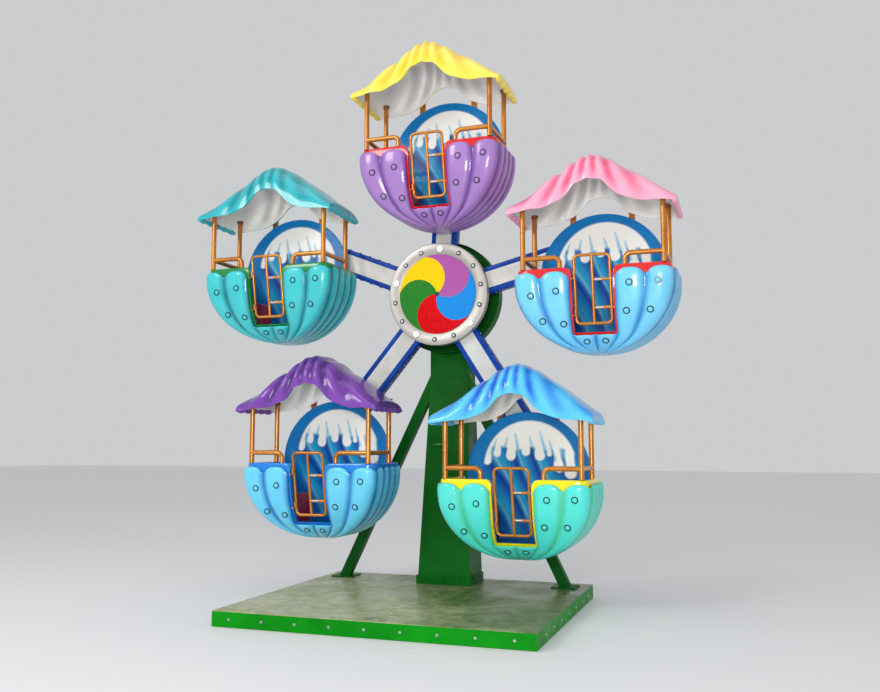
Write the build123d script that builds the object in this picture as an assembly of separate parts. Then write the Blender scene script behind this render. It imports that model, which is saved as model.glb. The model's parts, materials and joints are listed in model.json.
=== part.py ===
"""Five-cabin mini Ferris wheel, a coin-operated ride for small children.

Frame: origin at the centre of the platform's underside, +X to the right, +Y to
the back, +Z up.  The wheel turns about a line along Y.  A cabin's own sizes are
given from its swing pivot: x and z from the pivot, y in the ride's own frame.
"""
from build123d import *
from math import atan2, cos, degrees, pi, radians, sin, sqrt, tan
import os

# ------------------------------------------------------------------ clearances
seat_gap = 0.3                # between faces that rest or bolt together
running_gap = 0.05            # radial, shaft in bearing
sliding_gap = 0.3             # radial, latch bolt in guide

# -------------------------------------------------------------------- platform
platform_width = 2000.0       # along x
platform_depth = 1750.0       # along y
platform_height = 95.0
deck_thickness = 4.0
skirt_thickness = 3.0
skirt_lift = 2.0              # bottom edge above the ground
base_tube_width = 50.0
base_tube_wall = 4.0
base_rib_count = 3            # tubes along y between the two ends
screw_pitch = 220.0
screw_head_radius = 8.0
screw_head_height = 4.0

# ----------------------------------------------------------------------- tower
tower_foot_half_width = 195.0
tower_head_half_width = 148.0
tower_foot_front = 505.0      # y of the front face at the deck
tower_head_front = 645.0
tower_back = 815.0
tower_knee_height = 1560.0    # where the taper ends
tower_top_rise = 164.0        # above the wheel's axis
tower_wall = 6.0
collar_height = 60.0
collar_thickness = 8.0
collar_bolt_pitch = 130.0
collar_bolt_radius = 9.0
collar_bolt_height = 9.0

strut_foot_inset = 160.0      # from the platform's side edge
strut_y = 682.0
strut_join_height = 1520.0
strut_width = 72.0
strut_depth = 60.0
strut_wall = 5.0
strut_flange_size = 170.0
strut_flange_thickness = 10.0

# ----------------------------------------------------------------------- wheel
hub_height = 2166.0
pivot_radius = 1230.0
cabin_count = 5
rest_turn = -3.7              # degrees; the first spoke stands this far from upright
spoke_front = 435.0
spoke_depth = 95.0
spoke_width = 185.0
spoke_wall = 4.0
spoke_inner_radius = 140.0
spoke_end_past_pivot = 55.0
spoke_lamp_pitch = 85.0
spoke_lamp_start = 400.0
spoke_lamp_end = 1180.0
spoke_lamp_radius = 9.0
spoke_lamp_height = 11.0

cover_front = 374.0
cover_radius = 373.0
cover_thickness = 4.0
hub_lamp_count = 14
hub_lamp_circle = 330.0
hub_lamp_radius = 17.0
hub_lamp_height = 8.0
hub_bolt_radius = 16.0
hub_bolt_height = 10.0

flange_radius = 330.0
flange_thickness = 10.0
shaft_radius = 30.0
shaft_back = 866.0
bearing_radius = 70.0
bearing_thickness = 34.0

# ----------------------------------------------------------------------- drive
gear_module = 8.0
gear_teeth = 48
pinion_teeth = 14
pressure_angle = 20.0
gear_backlash = 0.8
gear_face = 30.0
gear_offset = 22.0            # gear's front face behind the rear flange
gear_sleeve_radius = 85.0
drum_radius = 412.0
drum_wall = 4.0
drum_gap = 12.0               # drum's front edge behind the rear flange
motor_radius = 68.0
motor_length = 118.0
motor_shaft_radius = 14.0

# ----------------------------------------------- cabin, measured from its pivot
tub_half_width = 523.0
tub_centre_z = -340.0         # centre height of the round flanks
tub_bottom_z = -790.0
tub_front = -115.0            # y of the front at the rim
tub_nose_y = 200.0            # y of the centre of the front's curve
tub_nose_z = -285.0
tub_back = 368.0
petal_top_z = -285.0
rim_top_z = -260.0
basket_wall = 12.0
liner_wall = 10.0
rim_width = 60.0
rim_thickness = 12.0
door_half_width = 132.0
door_sill_z = -670.0
door_frame_width = 18.0       # liner that shows around the doorway

panel_radius = 433.0
panel_centre_z = -250.0
panel_front = 370.0
panel_thickness = 15.0
panel_lap = 22.0              # how far the panel laps over its opening

bench_inner_x = 200.0
bench_top_z = -480.0
bench_wall = 8.0
cabin_floor_z = -682.0
cabin_floor_thickness = 12.0

post_radius = 17.0
post_wall = 3.0
rail_radius = 16.0
front_post_inset = 76.0       # from the bowl's widest
front_post_y = -68.0
back_post_inset = 73.0
back_post_y = 286.0
rail_z = -190.0
handrail_end_x = 207.0
handrail_bend = 40.0

hanger_bar_x = 200.0
hanger_bar_width = 40.0
hanger_bar_depth = 20.0
hanger_bottom_z = -430.0
hanger_top_z = 300.0
hanger_foot_height = 90.0
cross_bar_height = 50.0
pivot_shaft_radius = 18.0
pivot_boss_radius = 45.0
pivot_boss_length = 36.0
pivot_flange_thickness = 8.0
pivot_cap_thickness = 6.0

roof_peak_z = 500.0
roof_overhang = 27.0          # past the bowl's widest
roof_eave_z = 124.0
roof_hem_z = 100.0
roof_front = -160.0
roof_back = 345.0
roof_sheet = 14.0
valance_peak_z = 287.0
valance_shoulder_x = 300.0
valance_shoulder_z = 112.0

gate_tube_radius = 10.0
gate_side_gap = 9.0           # between the gate and each door jamb
gate_top_z = -190.0
gate_bottom_z = -618.0
gate_top_y = -88.0
gate_bottom_y = -8.0
gate_bend = 32.0
hinge_axis_offset = -17.5     # in front of the gate's tubes
hinge_pin_radius = 4.0
hinge_barrel_radius = 8.0
hinge_barrel_length = 36.0
hinge_lug_thickness = 6.0
hinge_lug_reach = 42.0        # in front of the gate's tubes, to the jamb
hinge_heights = (-330.0, -560.0)
bolt_heights = (-345.0, -520.0)
latch_bolt_radius = 6.0
latch_guide_radius = 10.0
latch_bolt_length = 95.0
latch_bolt_setback = 3.0      # drawn bolt's end, short of the door jamb
latch_hole_spare = 20.0       # hole behind the drawn bolt

# ------------------------------------------------------------- derived sizes
deck_top = platform_height
deck_bottom = platform_height - deck_thickness
strut_foot_x = platform_width / 2 - strut_foot_inset
tower_top_height = hub_height + tower_top_rise
spoke_back = spoke_front + spoke_depth
spoke_outer_radius = pivot_radius + spoke_end_past_pivot
flange_back = spoke_back + seat_gap + flange_thickness
gear_front = flange_back + gear_offset
drum_front = flange_back + drum_gap
drum_back = tower_head_front - seat_gap
gear_radius = gear_module * gear_teeth / 2
pinion_radius = gear_module * pinion_teeth / 2
pinion_height = hub_height - gear_radius - pinion_radius
hanger_front = panel_front + panel_thickness + seat_gap
hanger_back = hanger_front + hanger_bar_depth
pivot_flange_front = spoke_front - seat_gap - pivot_flange_thickness
front_post_x = tub_half_width - front_post_inset
back_post_x = tub_half_width - back_post_inset
roof_half_width = tub_half_width + roof_overhang
roof_slope = (roof_peak_z - roof_eave_z) / roof_half_width
roof_drop = roof_sheet * sqrt(1 + roof_slope**2)
gate_half_width = door_half_width - gate_side_gap - gate_tube_radius   # to the tube's centre
gate_lean = degrees(atan2(gate_bottom_y - gate_top_y, gate_top_z - gate_bottom_z))
gate_height = (gate_top_z - gate_bottom_z) / cos(radians(gate_lean))
hinge_axis_x = -gate_half_width
hinge_lug_radius = -hinge_axis_offset - gate_tube_radius - seat_gap
latch_bolt_end = door_half_width - latch_bolt_setback
latch_bolt_start = latch_bolt_end - latch_bolt_length
latch_hole_start = latch_bolt_start - latch_hole_spare
spoke_angles = [90 + rest_turn + 360 / cabin_count * n for n in range(cabin_count)]
pivots = [
    (pivot_radius * cos(radians(a)), hub_height + pivot_radius * sin(radians(a)))
    for a in spoke_angles
]
along_y = Rot(-90, 0, 0)      # turns a shape built along +Z to point along +Y


# -------------------------------------------------------------------- helpers
def box(x0, x1, y0, y1, z0, z1):
    """Box between two corners."""
    return Pos((x0 + x1) / 2, (y0 + y1) / 2, (z0 + z1) / 2) * Box(x1 - x0, y1 - y0, z1 - z0)


def rod_y(x, z, radius, y0, y1):
    """Round bar along y."""
    return Pos(x, (y0 + y1) / 2, z) * along_y * Cylinder(radius, y1 - y0)


def rod_z(x, y, radius, z0, z1):
    """Round bar along z."""
    return Pos(x, y, (z0 + z1) / 2) * Cylinder(radius, z1 - z0)


def rod_x(x0, x1, y, z, radius):
    """Round bar along x."""
    return Pos((x0 + x1) / 2, y, z) * Rot(0, 90, 0) * Cylinder(radius, x1 - x0)


def bent_bar(points, bend, radius):
    """Round bar along straight runs joined by tangent arcs."""
    path = FilletPolyline(*points, radius=bend)
    return sweep(Plane(origin=path @ 0, z_dir=path % 0) * Circle(radius), path=path)


def upright_plate(outline, y0, y1):
    """Plate whose outline is drawn in x and z, from y0 to y1."""
    face = make_face(Polyline(*[(x, y0, z) for x, z in outline], close=True).edges())
    return extrude(face, amount=y1 - y0, dir=(0, 1, 0))


def turned(shape, angle):
    """Turn a shape about the wheel's axis, towards +X to +Z."""
    return shape.rotate(Axis((0, 0, hub_height), (0, -1, 0)), angle)


def save(name, *shapes):
    """Write one named node."""
    solids = [solid for shape in shapes for solid in shape.solids()]
    result = solids[0] if len(solids) == 1 else Compound(children=solids)
    export_step(result, f"parts/{name}.step")


# ------------------------------------------------------------------- platform
def base_frame():
    """Rectangular tube frame under the deck, each tube a separate welded piece."""
    half_x = platform_width / 2 - skirt_thickness - seat_gap
    half_y = platform_depth / 2 - skirt_thickness - seat_gap
    top = deck_bottom - seat_gap
    side = base_tube_width / 2
    w = base_tube_wall
    tubes = []
    for y in (side - half_y, half_y - side):
        bore = box(-half_x - 1, half_x + 1, y - side + w, y + side - w, w, top - w)
        tubes.append(box(-half_x, half_x, y - side, y + side, 0, top) - bore)
    rib_half = half_y - base_tube_width
    span = 2 * half_x - base_tube_width
    for n in range(base_rib_count + 2):
        x = side - half_x + span * n / (base_rib_count + 1)
        bore = box(x - side + w, x + side - w, -rib_half - 1, rib_half + 1, w, top - w)
        tubes.append(box(x - side, x + side, -rib_half, rib_half, 0, top) - bore)
    return tubes


def skirt_panels():
    """Front, back and side plates around the frame."""
    x = platform_width / 2
    y = platform_depth / 2
    t = skirt_thickness
    top = deck_bottom - seat_gap
    front = box(-x, x, -y, t - y, skirt_lift, top)
    back = box(-x, x, y - t, y, skirt_lift, top)
    left = box(-x, t - x, t - y + seat_gap, y - t - seat_gap, skirt_lift, top)
    right = box(x - t, x, t - y + seat_gap, y - t - seat_gap, skirt_lift, top)
    return [front, back, left, right]


def skirt_screws():
    """Round-headed screws at mid height of every skirt plate."""
    z = platform_height / 2
    screws = []
    for length, across, turn in (
        (platform_width, platform_depth, 0), (platform_depth, platform_width, 90),
        (platform_width, platform_depth, 180), (platform_depth, platform_width, 270),
    ):
        count = int(length // screw_pitch)
        for n in range(count):
            x = (n - (count - 1) / 2) * screw_pitch
            y = -across / 2 - seat_gap
            head = rod_y(x, z, screw_head_radius, y - screw_head_height, y)
            screws.append(Rot(0, 0, turn) * head)
    return screws


# ---------------------------------------------------------------------- tower
def tower_form(inset, bottom, top):
    """Tapered column with a straight head, inset from the outer faces."""
    foot = tower_foot_half_width - inset
    head = tower_head_half_width - inset
    back = tower_back - inset
    foot_front = tower_foot_front + inset
    head_front = tower_head_front + inset
    side = Plane.YZ * make_face(Polyline(
        (foot_front, bottom), (back, bottom), (back, top),
        (head_front, top), (head_front, tower_knee_height), close=True,
    ).edges())
    front = Plane.XZ * make_face(Polyline(
        (-foot, bottom), (foot, bottom), (head, tower_knee_height), (head, top),
        (-head, top), (-head, tower_knee_height), close=True,
    ).edges())
    return extrude(side, amount=foot, both=True) & extrude(front, amount=-back)


def tower_column():
    """Folded steel column with openings for the shafts."""
    bottom = deck_top + seat_gap
    column = tower_form(0, bottom, tower_top_height)
    column -= tower_form(tower_wall, bottom - 1, tower_top_height - tower_wall)
    column -= rod_y(0, hub_height, shaft_radius + 4, tower_head_front - 1, tower_back + 1)
    column -= rod_y(0, pinion_height, motor_shaft_radius + 4, tower_head_front - 1, tower_back - 50)
    return column


def tower_collar():
    """Angle frame around the tower's foot, and its bolts on the side faces."""
    half = tower_foot_half_width + seat_gap
    front = tower_foot_front - seat_gap
    back = tower_back + seat_gap
    bottom = deck_top + seat_gap
    top = bottom + collar_height
    t = collar_thickness
    ring = box(-half - t, half + t, front - t, back + t, bottom, top)
    ring -= box(-half, half, front, back, bottom - 1, top + 1)
    bolts = []
    z = bottom + collar_height * 0.7
    for n in range(3):
        x = (n - 1) * collar_bolt_pitch
        y = front - t - seat_gap
        bolts.append(rod_y(x, z, collar_bolt_radius, y - collar_bolt_height, y))
    for side in (-1, 1):
        for y in (front + 80, back - 80):
            x0 = side * (half + t + seat_gap)
            x1 = x0 + side * collar_bolt_height
            bolts.append(rod_x(min(x0, x1), max(x0, x1), y, z, collar_bolt_radius))
    return [ring] + bolts


def rear_strut(side):
    """Square tube leaning from a flange on the deck up to the tower's side."""
    foot_z = deck_top + seat_gap + strut_flange_thickness
    tower_x = tower_head_half_width + (tower_foot_half_width - tower_head_half_width) * (
        (tower_knee_height - strut_join_height) / (tower_knee_height - deck_top)
    )
    lean = (strut_foot_x - tower_x) / (strut_join_height - foot_z)
    half = strut_width / 2 * sqrt(1 + lean**2)
    rise = 200.0

    def leaning(inset, extra):
        w = half - inset * sqrt(1 + lean**2)
        x_top = tower_x - lean * rise
        outline = [
            (strut_foot_x + w + lean * extra, foot_z - extra),
            (x_top + w, strut_join_height + rise),
            (x_top - w, strut_join_height + rise),
            (strut_foot_x - w + lean * extra, foot_z - extra),
        ]
        depth = strut_depth / 2 - inset
        return upright_plate(outline, strut_y - depth, strut_y + depth)

    tube = leaning(0, 0) - leaning(strut_wall, 20)
    tube -= tower_form(-seat_gap, deck_top, tower_top_height)
    tube = tube.solids().sort_by(Axis.X)[-1]
    size = strut_flange_size / 2
    flange = box(
        strut_foot_x - size, strut_foot_x + size, strut_y - size, strut_y + size,
        deck_top + seat_gap, foot_z,
    )
    strut = tube + flange
    return strut if side > 0 else strut.mirror(Plane.YZ)


# ---------------------------------------------------------------------- wheel
def spoke():
    """Rectangular tube from the hub to just past the pivot, built upright."""
    half = spoke_width / 2
    z0 = hub_height + spoke_inner_radius
    z1 = hub_height + spoke_outer_radius
    tube = box(-half, half, spoke_front, spoke_back, z0, z1)
    w = spoke_wall
    tube -= box(-half + w, half - w, spoke_front + w, spoke_back - w, z0 - 1, z1 - w)
    return tube


def spoke_lamps():
    """Small lamps along both side faces of a spoke, built upright."""
    count = int((spoke_lamp_end - spoke_lamp_start) / spoke_lamp_pitch) + 1
    y = spoke_front + spoke_depth * 0.4
    lamps = []
    for n in range(count):
        z = hub_height + spoke_lamp_start + n * spoke_lamp_pitch
        x = spoke_width / 2 + seat_gap
        lamps.append(rod_x(x, x + spoke_lamp_height, y, z, spoke_lamp_radius))
        lamps.append(rod_x(-x - spoke_lamp_height, -x, y, z, spoke_lamp_radius))
    return lamps


def hub_flanges():
    """Discs that clamp the spokes front and back, and the sleeve for the gear."""
    front = rod_y(0, hub_height, flange_radius, spoke_front - seat_gap - flange_thickness,
                  spoke_front - seat_gap)
    back = rod_y(0, hub_height, flange_radius, spoke_back + seat_gap, flange_back)
    barrel = rod_y(0, hub_height, spoke_inner_radius - 20, spoke_front - seat_gap,
                   spoke_back + seat_gap)
    sleeve = rod_y(0, hub_height, gear_sleeve_radius, flange_back, gear_front - seat_gap)
    hub = front + back + barrel + sleeve
    return hub - rod_y(0, hub_height, shaft_radius + seat_gap, cover_front, drum_back)


def main_shaft():
    """Steel shaft that carries the wheel."""
    return rod_y(0, hub_height, shaft_radius, cover_front + cover_thickness + 5, shaft_back)


def main_bearings():
    """Flange bearings on the front and back of the tower's head."""
    bore = shaft_radius + running_gap
    front_y = tower_head_front + tower_wall + seat_gap
    front = rod_y(0, hub_height, bearing_radius, front_y, front_y + bearing_thickness)
    back_y = tower_back + seat_gap
    back = rod_y(0, hub_height, bearing_radius, back_y, back_y + bearing_thickness)
    shaft_way = rod_y(0, hub_height, bore, cover_front, platform_depth)
    return [front - shaft_way, back - shaft_way]


def hub_cover():
    """Shallow round pan that closes the front of the hub, with its centre bolt."""
    back = spoke_front - seat_gap
    pan = rod_y(0, hub_height, cover_radius, cover_front, back)
    pan -= rod_y(0, hub_height, cover_radius - cover_thickness,
                 cover_front + cover_thickness, back + 1)
    bolt_back = cover_front - seat_gap
    bolt = rod_y(0, hub_height, hub_bolt_radius, bolt_back - hub_bolt_height, bolt_back)
    return [pan, bolt]


def hub_lamps():
    """Round lamps on a circle near the cover's edge."""
    back = cover_front - seat_gap
    lamp = rod_y(0, hub_height + hub_lamp_circle, hub_lamp_radius, back - hub_lamp_height, back)
    pitch = 360 / hub_lamp_count
    return [turned(lamp, rest_turn + pitch * n) for n in range(hub_lamp_count)]


# ---------------------------------------------------------------------- drive
def gear_outline(teeth):
    """Corner points of an involute gear, first tooth centred on the x axis."""
    pitch = gear_module * teeth / 2
    base = pitch * cos(radians(pressure_angle))
    tip = pitch + gear_module
    root = pitch - 1.25 * gear_module
    half_tooth = pi / (2 * teeth) - gear_backlash / (2 * pitch)
    flat = tan(radians(pressure_angle)) - radians(pressure_angle)
    start = max(base, root)
    flank = []
    for step in range(5):
        radius = start + (tip - start) * step / 4
        roll = sqrt(max(radius**2 / base**2 - 1, 0))
        flank.append((radius, half_tooth + flat - (roll - atan2(roll, 1))))
    side = ([(root, flank[0][1])] if root < start - 0.01 else []) + flank
    points = []
    for n in range(teeth):
        middle = 2 * pi * n / teeth
        for radius, angle in [(r, middle - a) for r, a in side]:
            points.append((radius * cos(angle), radius * sin(angle)))
        for radius, angle in reversed([(r, middle + a) for r, a in side]):
            points.append((radius * cos(angle), radius * sin(angle)))
    return points


def spur_gear(teeth, turn, x, z, bore):
    """Gear about an axis along y, its first tooth turned from +X towards +Z."""
    c = cos(radians(turn))
    s = sin(radians(turn))
    outline = [(x + px * c - pz * s, z + px * s + pz * c) for px, pz in gear_outline(teeth)]
    gear = upright_plate(outline, gear_front, gear_front + gear_face)
    return gear - rod_y(x, z, bore, gear_front - 1, gear_front + gear_face + 1)


def drive_gear():
    """Large gear bolted behind the hub, one tooth pointing straight down."""
    return spur_gear(gear_teeth, -90, 0, hub_height, shaft_radius + seat_gap)


def drive_pinion():
    """Motor pinion below the gear, a tooth space pointing straight up."""
    turn = 90 + 180 / pinion_teeth
    return spur_gear(pinion_teeth, turn, 0, pinion_height, motor_shaft_radius + seat_gap)


def gear_motor():
    """Geared motor body inside the tower's head."""
    front = tower_head_front + tower_wall + seat_gap
    body = rod_y(0, pinion_height, motor_radius, front, front + motor_length)
    body += box(-motor_radius, motor_radius, front, front + motor_length * 0.45,
                pinion_height - motor_radius * 1.4, pinion_height)
    return body - rod_y(0, pinion_height, motor_shaft_radius + running_gap, front - 1, front + 61)


def motor_shaft():
    """Output shaft that carries the pinion."""
    back = tower_head_front + tower_wall + 60
    return rod_y(0, pinion_height, motor_shaft_radius, gear_front - 6, back)


def drum_housing():
    """Round housing around the gears, open to the front, fixed to the tower."""
    drum = rod_y(0, hub_height, drum_radius, drum_front, drum_back)
    drum -= rod_y(0, hub_height, drum_radius - drum_wall, drum_front - 1, drum_back - drum_wall)
    drum -= rod_y(0, hub_height, shaft_radius + 4, drum_front, drum_back + 1)
    drum -= rod_y(0, pinion_height, motor_shaft_radius + 4, drum_front, drum_back + 1)
    return drum


# ---------------------------------------------------------------------- cabin
def tub_form(inset, top):
    """Solid form of the cabin's bowl, inset from its outer skin, closed at top."""
    a = tub_half_width - inset
    b = tub_centre_z - tub_bottom_z - inset
    rise = top - tub_centre_z
    front_view = Ellipse(a, b) + Pos(0, rise / 2) * Rectangle(2 * a, rise)
    front_view &= Pos(0, rise - 1000) * Rectangle(2 * a, 2000)
    depth = 1000.0
    across = Pos(0, 0, tub_centre_z) * Rot(90, 0, 0) * extrude(front_view, amount=depth, both=True)

    nose = tub_nose_y - tub_front - inset
    drop = tub_nose_z - tub_bottom_z - inset
    back = tub_back - inset
    lift = top - tub_nose_z
    side_view = Ellipse(nose, drop)
    side_view += Pos((back - tub_nose_y) / 2, -drop / 2) * Rectangle(back - tub_nose_y, drop)
    side_view &= Pos((back - tub_nose_y - nose) / 2, 0) * Rectangle(back - tub_nose_y + nose, 2 * drop)
    side_view &= Pos(0, -drop) * Rectangle(2000, 2 * drop)
    if lift > 0:
        width = back - tub_nose_y + nose
        side_view += Pos((back - tub_nose_y - nose) / 2, lift / 2) * Rectangle(width, lift)
    along = Plane.YZ * Pos(tub_nose_y, tub_nose_z) * side_view
    return across & extrude(along, amount=depth, both=True)


def panel_way():
    """Round opening in the bowl's back wall, closed by the back panel."""
    return rod_y(0, panel_centre_z, panel_radius - panel_lap, tub_back - 60, tub_back + 10)


def cabin_basket():
    """Outer petal skin with its doorway."""
    top = petal_top_z
    skin = tub_form(0, top) - tub_form(basket_wall, top + 40)
    half = door_half_width + door_frame_width
    skin -= box(-half, half, tub_front - 50, 60, door_sill_z - door_frame_width, top + 40)
    return skin - panel_way()


def cabin_liner():
    """Inner shell with its rim and doorway."""
    outer = basket_wall + seat_gap
    inner = outer + liner_wall
    shell = tub_form(outer, rim_top_z) - tub_form(inner, rim_top_z + 40)
    rim = tub_form(outer, rim_top_z) & box(-600, 600, -300, 600, rim_top_z - rim_thickness, rim_top_z)
    inner_x = tub_half_width - outer - rim_width
    rim -= box(-inner_x, inner_x, tub_front + outer + rim_width, tub_back + 50,
               rim_top_z - 50, rim_top_z + 50)
    shell += rim
    shell -= box(-door_half_width, door_half_width, tub_front - 50, 60, door_sill_z, rim_top_z + 40)
    return shell - panel_way()


def cabin_seats():
    """Two folded benches along the bowl's flanks, and the floor board between them."""
    inside = tub_form(basket_wall + liner_wall + 2 * seat_gap, bench_top_z)
    right = inside & box(bench_inner_x, 600, -300, 600, cabin_floor_z - 40, bench_top_z)
    right -= box(bench_inner_x + bench_wall, 700, -400, 700, -900, bench_top_z - bench_wall)
    left = right.mirror(Plane.YZ)
    half = bench_inner_x - seat_gap
    floor = inside & box(-half, half, -300, 600, cabin_floor_z - cabin_floor_thickness, cabin_floor_z)
    return [left, right, floor]


def back_panel():
    """Round painted panel that closes the cabin's back."""
    return rod_y(0, panel_centre_z, panel_radius, panel_front, panel_front + panel_thickness)


def roof_underside(x):
    """Height of the roof sheet's underside at x."""
    return roof_peak_z - roof_drop - roof_slope * abs(x)


def hanger():
    """Rear frame that hangs the cabin from its pivot: bars, roof feet, cross bar, boss."""
    half = hanger_bar_width / 2
    shaft_way = rod_y(0, 0, pivot_shaft_radius + running_gap, panel_front, spoke_front)
    pieces = []
    for x in (-hanger_bar_x, hanger_bar_x):
        pieces.append(box(x - half, x + half, hanger_front, hanger_back,
                          hanger_bottom_z, hanger_top_z))
        pieces.append(box(x - half, x + half, roof_back + seat_gap, hanger_front - seat_gap,
                          hanger_top_z - hanger_foot_height, hanger_top_z))
    cross_half = hanger_bar_x - half - seat_gap
    cross = box(-cross_half, cross_half, hanger_front, hanger_back,
                -cross_bar_height / 2, cross_bar_height / 2)
    cross += rod_y(0, 0, pivot_boss_radius, hanger_front, hanger_front + pivot_boss_length)
    return pieces + [cross - shaft_way]


def hollow_post(x, y, top):
    """Upright tube on the bowl's rim, closed at its top."""
    foot = rim_top_z + seat_gap
    post = rod_z(x, y, post_radius, foot, top)
    return post - rod_z(x, y, post_radius - post_wall, foot - 1, top - post_wall)


def post_way(x, y):
    """Room that a rail leaves for the post it is welded to."""
    return rod_z(x, y, post_radius + seat_gap, rail_z - 100, rail_z + 100)


def cabin_frame():
    """Hanger, posts, handrails and side rails of the cabin, each tube its own piece."""
    foot = rim_top_z + seat_gap
    front_top = roof_underside(front_post_x + post_radius) - seat_gap
    back_top = roof_underside(back_post_x + post_radius) - seat_gap
    pieces = hanger()
    for side in (-1, 1):
        front_x = side * front_post_x
        back_x = side * back_post_x
        pieces.append(hollow_post(front_x, front_post_y, front_top))
        pieces.append(hollow_post(back_x, back_post_y, back_top))
        front_way = post_way(front_x, front_post_y)
        end_x = side * handrail_end_x
        handrail = bent_bar([
            (front_x, front_post_y, rail_z), (end_x, front_post_y, rail_z),
            (end_x, front_post_y, foot),
        ], handrail_bend, rail_radius)
        pieces.append(handrail - front_way)
        run = Line((front_x, front_post_y, rail_z), (back_x, back_post_y, rail_z))
        section = Plane(origin=run @ 0, z_dir=run % 0) * Circle(rail_radius)
        side_rail = sweep(section, path=run)
        pieces.append(side_rail - front_way - post_way(back_x, back_post_y))
    return pieces


def cabin_roof():
    """Gable canopy with front and back valances, open underneath."""
    w = roof_half_width
    inner = w - roof_sheet
    sheet = upright_plate([
        (-w, roof_hem_z), (-w, roof_eave_z), (0, roof_peak_z), (w, roof_eave_z), (w, roof_hem_z),
        (inner, roof_hem_z), (inner, roof_underside(inner)), (0, roof_underside(0)),
        (-inner, roof_underside(inner)), (-inner, roof_hem_z),
    ], roof_front, roof_back)
    valance = [
        (-w, roof_hem_z), (-w, roof_eave_z), (0, roof_peak_z), (w, roof_eave_z), (w, roof_hem_z),
        (valance_shoulder_x, valance_shoulder_z), (0, valance_peak_z),
        (-valance_shoulder_x, valance_shoulder_z),
    ]
    front = upright_plate(valance, roof_front, roof_front + roof_sheet)
    back = upright_plate(valance, roof_back - roof_sheet, roof_back)
    return sheet + front + back


def on_gate(shape):
    """Place a shape built in the gate's own upright plane, z = 0 at its mid height."""
    middle_y = (gate_top_y + gate_bottom_y) / 2
    middle_z = (gate_top_z + gate_bottom_z) / 2
    return Pos(0, middle_y, middle_z) * Rot(gate_lean, 0, 0) * shape


def gate_local(z):
    """Distance along the gate from its middle to the point at cabin height z."""
    return (z - (gate_top_z + gate_bottom_z) / 2) / cos(radians(gate_lean))


def cabin_gate():
    """Tube gate with hinge barrels on its left and bolt guides on its right."""
    w = gate_half_width
    h = gate_height / 2
    loop = None
    for side in (-1, 1):
        half = bent_bar([(0, 0, h), (side * w, 0, h), (side * w, 0, -h), (0, 0, -h)],
                        gate_bend, gate_tube_radius)
        loop = half if loop is None else loop + half
    gate = loop + rod_z(0, 0, gate_tube_radius, -h, h)
    for z in bolt_heights:
        gate += rod_x(0, w, 0, gate_local(z), latch_guide_radius)
    for z in bolt_heights:
        gate -= rod_x(latch_hole_start, w + 30, 0, gate_local(z), latch_bolt_radius + sliding_gap)
    for z in hinge_heights:
        z0 = gate_local(z) + seat_gap
        z1 = z0 + hinge_barrel_length
        bore = hinge_pin_radius + running_gap
        gate += rod_z(hinge_axis_x, hinge_axis_offset, hinge_barrel_radius, z0, z1)
        gate -= rod_z(hinge_axis_x, hinge_axis_offset, bore, z0 - 1, z1 + 1)
    return on_gate(gate)


def hinge_lugs():
    """Lugs on the left door jamb, each with an upright pin for a gate barrel."""
    lugs = []
    for z in hinge_heights:
        top = gate_local(z)
        bottom = top - hinge_lug_thickness
        lug = box(seat_gap - door_half_width, hinge_axis_x, -hinge_lug_reach,
                  hinge_axis_offset + hinge_lug_radius, bottom, top)
        lug += rod_z(hinge_axis_x, hinge_axis_offset, hinge_lug_radius, bottom, top)
        lug += rod_z(hinge_axis_x, hinge_axis_offset, hinge_pin_radius, bottom,
                     top + hinge_barrel_length)
        lugs.append(on_gate(lug))
    return lugs


def latch_bolts():
    """Two sliding bolts that hold the gate shut."""
    return [
        on_gate(rod_x(latch_bolt_start, latch_bolt_end, 0, gate_local(z), latch_bolt_radius))
        for z in bolt_heights
    ]


def pivot_shafts():
    """Stub shafts bolted to the spokes' front faces, one for each cabin."""
    shafts = []
    for x, z in pivots:
        flange_back_y = spoke_front - seat_gap
        shaft = rod_y(x, z, pivot_boss_radius, pivot_flange_front, flange_back_y)
        shaft += rod_y(x, z, pivot_shaft_radius, hanger_front + 1, flange_back_y)
        shafts.append(shaft)
    return shafts


def cabin():
    """Shapes of every node of a cabin, placed about its own pivot."""
    return {
        "basket": [cabin_basket()],
        "liner": [cabin_liner()],
        "seats": cabin_seats(),
        "frame": cabin_frame() + hinge_lugs(),
        "roof": [cabin_roof()],
        "back_panel": [back_panel()],
        "gate": [cabin_gate()],
        "latch_bolts": latch_bolts(),
    }


# ----------------------------------------------------------------------- build
os.makedirs("parts", exist_ok=True)
save("base_frame", *base_frame())
half_deck_x = platform_width / 2
half_deck_y = platform_depth / 2
save("deck_plate", box(-half_deck_x, half_deck_x, -half_deck_y, half_deck_y, deck_bottom, deck_top))
save("skirt_panels", *skirt_panels())
save("skirt_screws", *skirt_screws())
save("tower_column", tower_column())
save("tower_collar", *tower_collar())
save("rear_struts", rear_strut(-1), rear_strut(1))
save("spokes", *[turned(spoke(), angle - 90) for angle in spoke_angles])
save("spoke_lamps", *[turned(lamp, angle - 90) for angle in spoke_angles for lamp in spoke_lamps()])
save("hub_flanges", hub_flanges())
save("hub_cover", *hub_cover())
save("hub_lamps", *hub_lamps())
save("main_shaft", main_shaft())
save("main_bearings", *main_bearings())
save("drive_gear", drive_gear())
save("drive_pinion", drive_pinion())
save("motor_shaft", motor_shaft())
save("gear_motor", gear_motor())
save("drum_housing", drum_housing())
save("pivot_shafts", *pivot_shafts())
cabin_nodes = cabin()
for cabin_name, (pivot_x, pivot_z) in zip("abcde", pivots):
    place = Pos(pivot_x, 0, pivot_z)
    for part, shapes in cabin_nodes.items():
        save(f"cabin_{cabin_name}_{part}", *[place * shape for shape in shapes])
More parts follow.
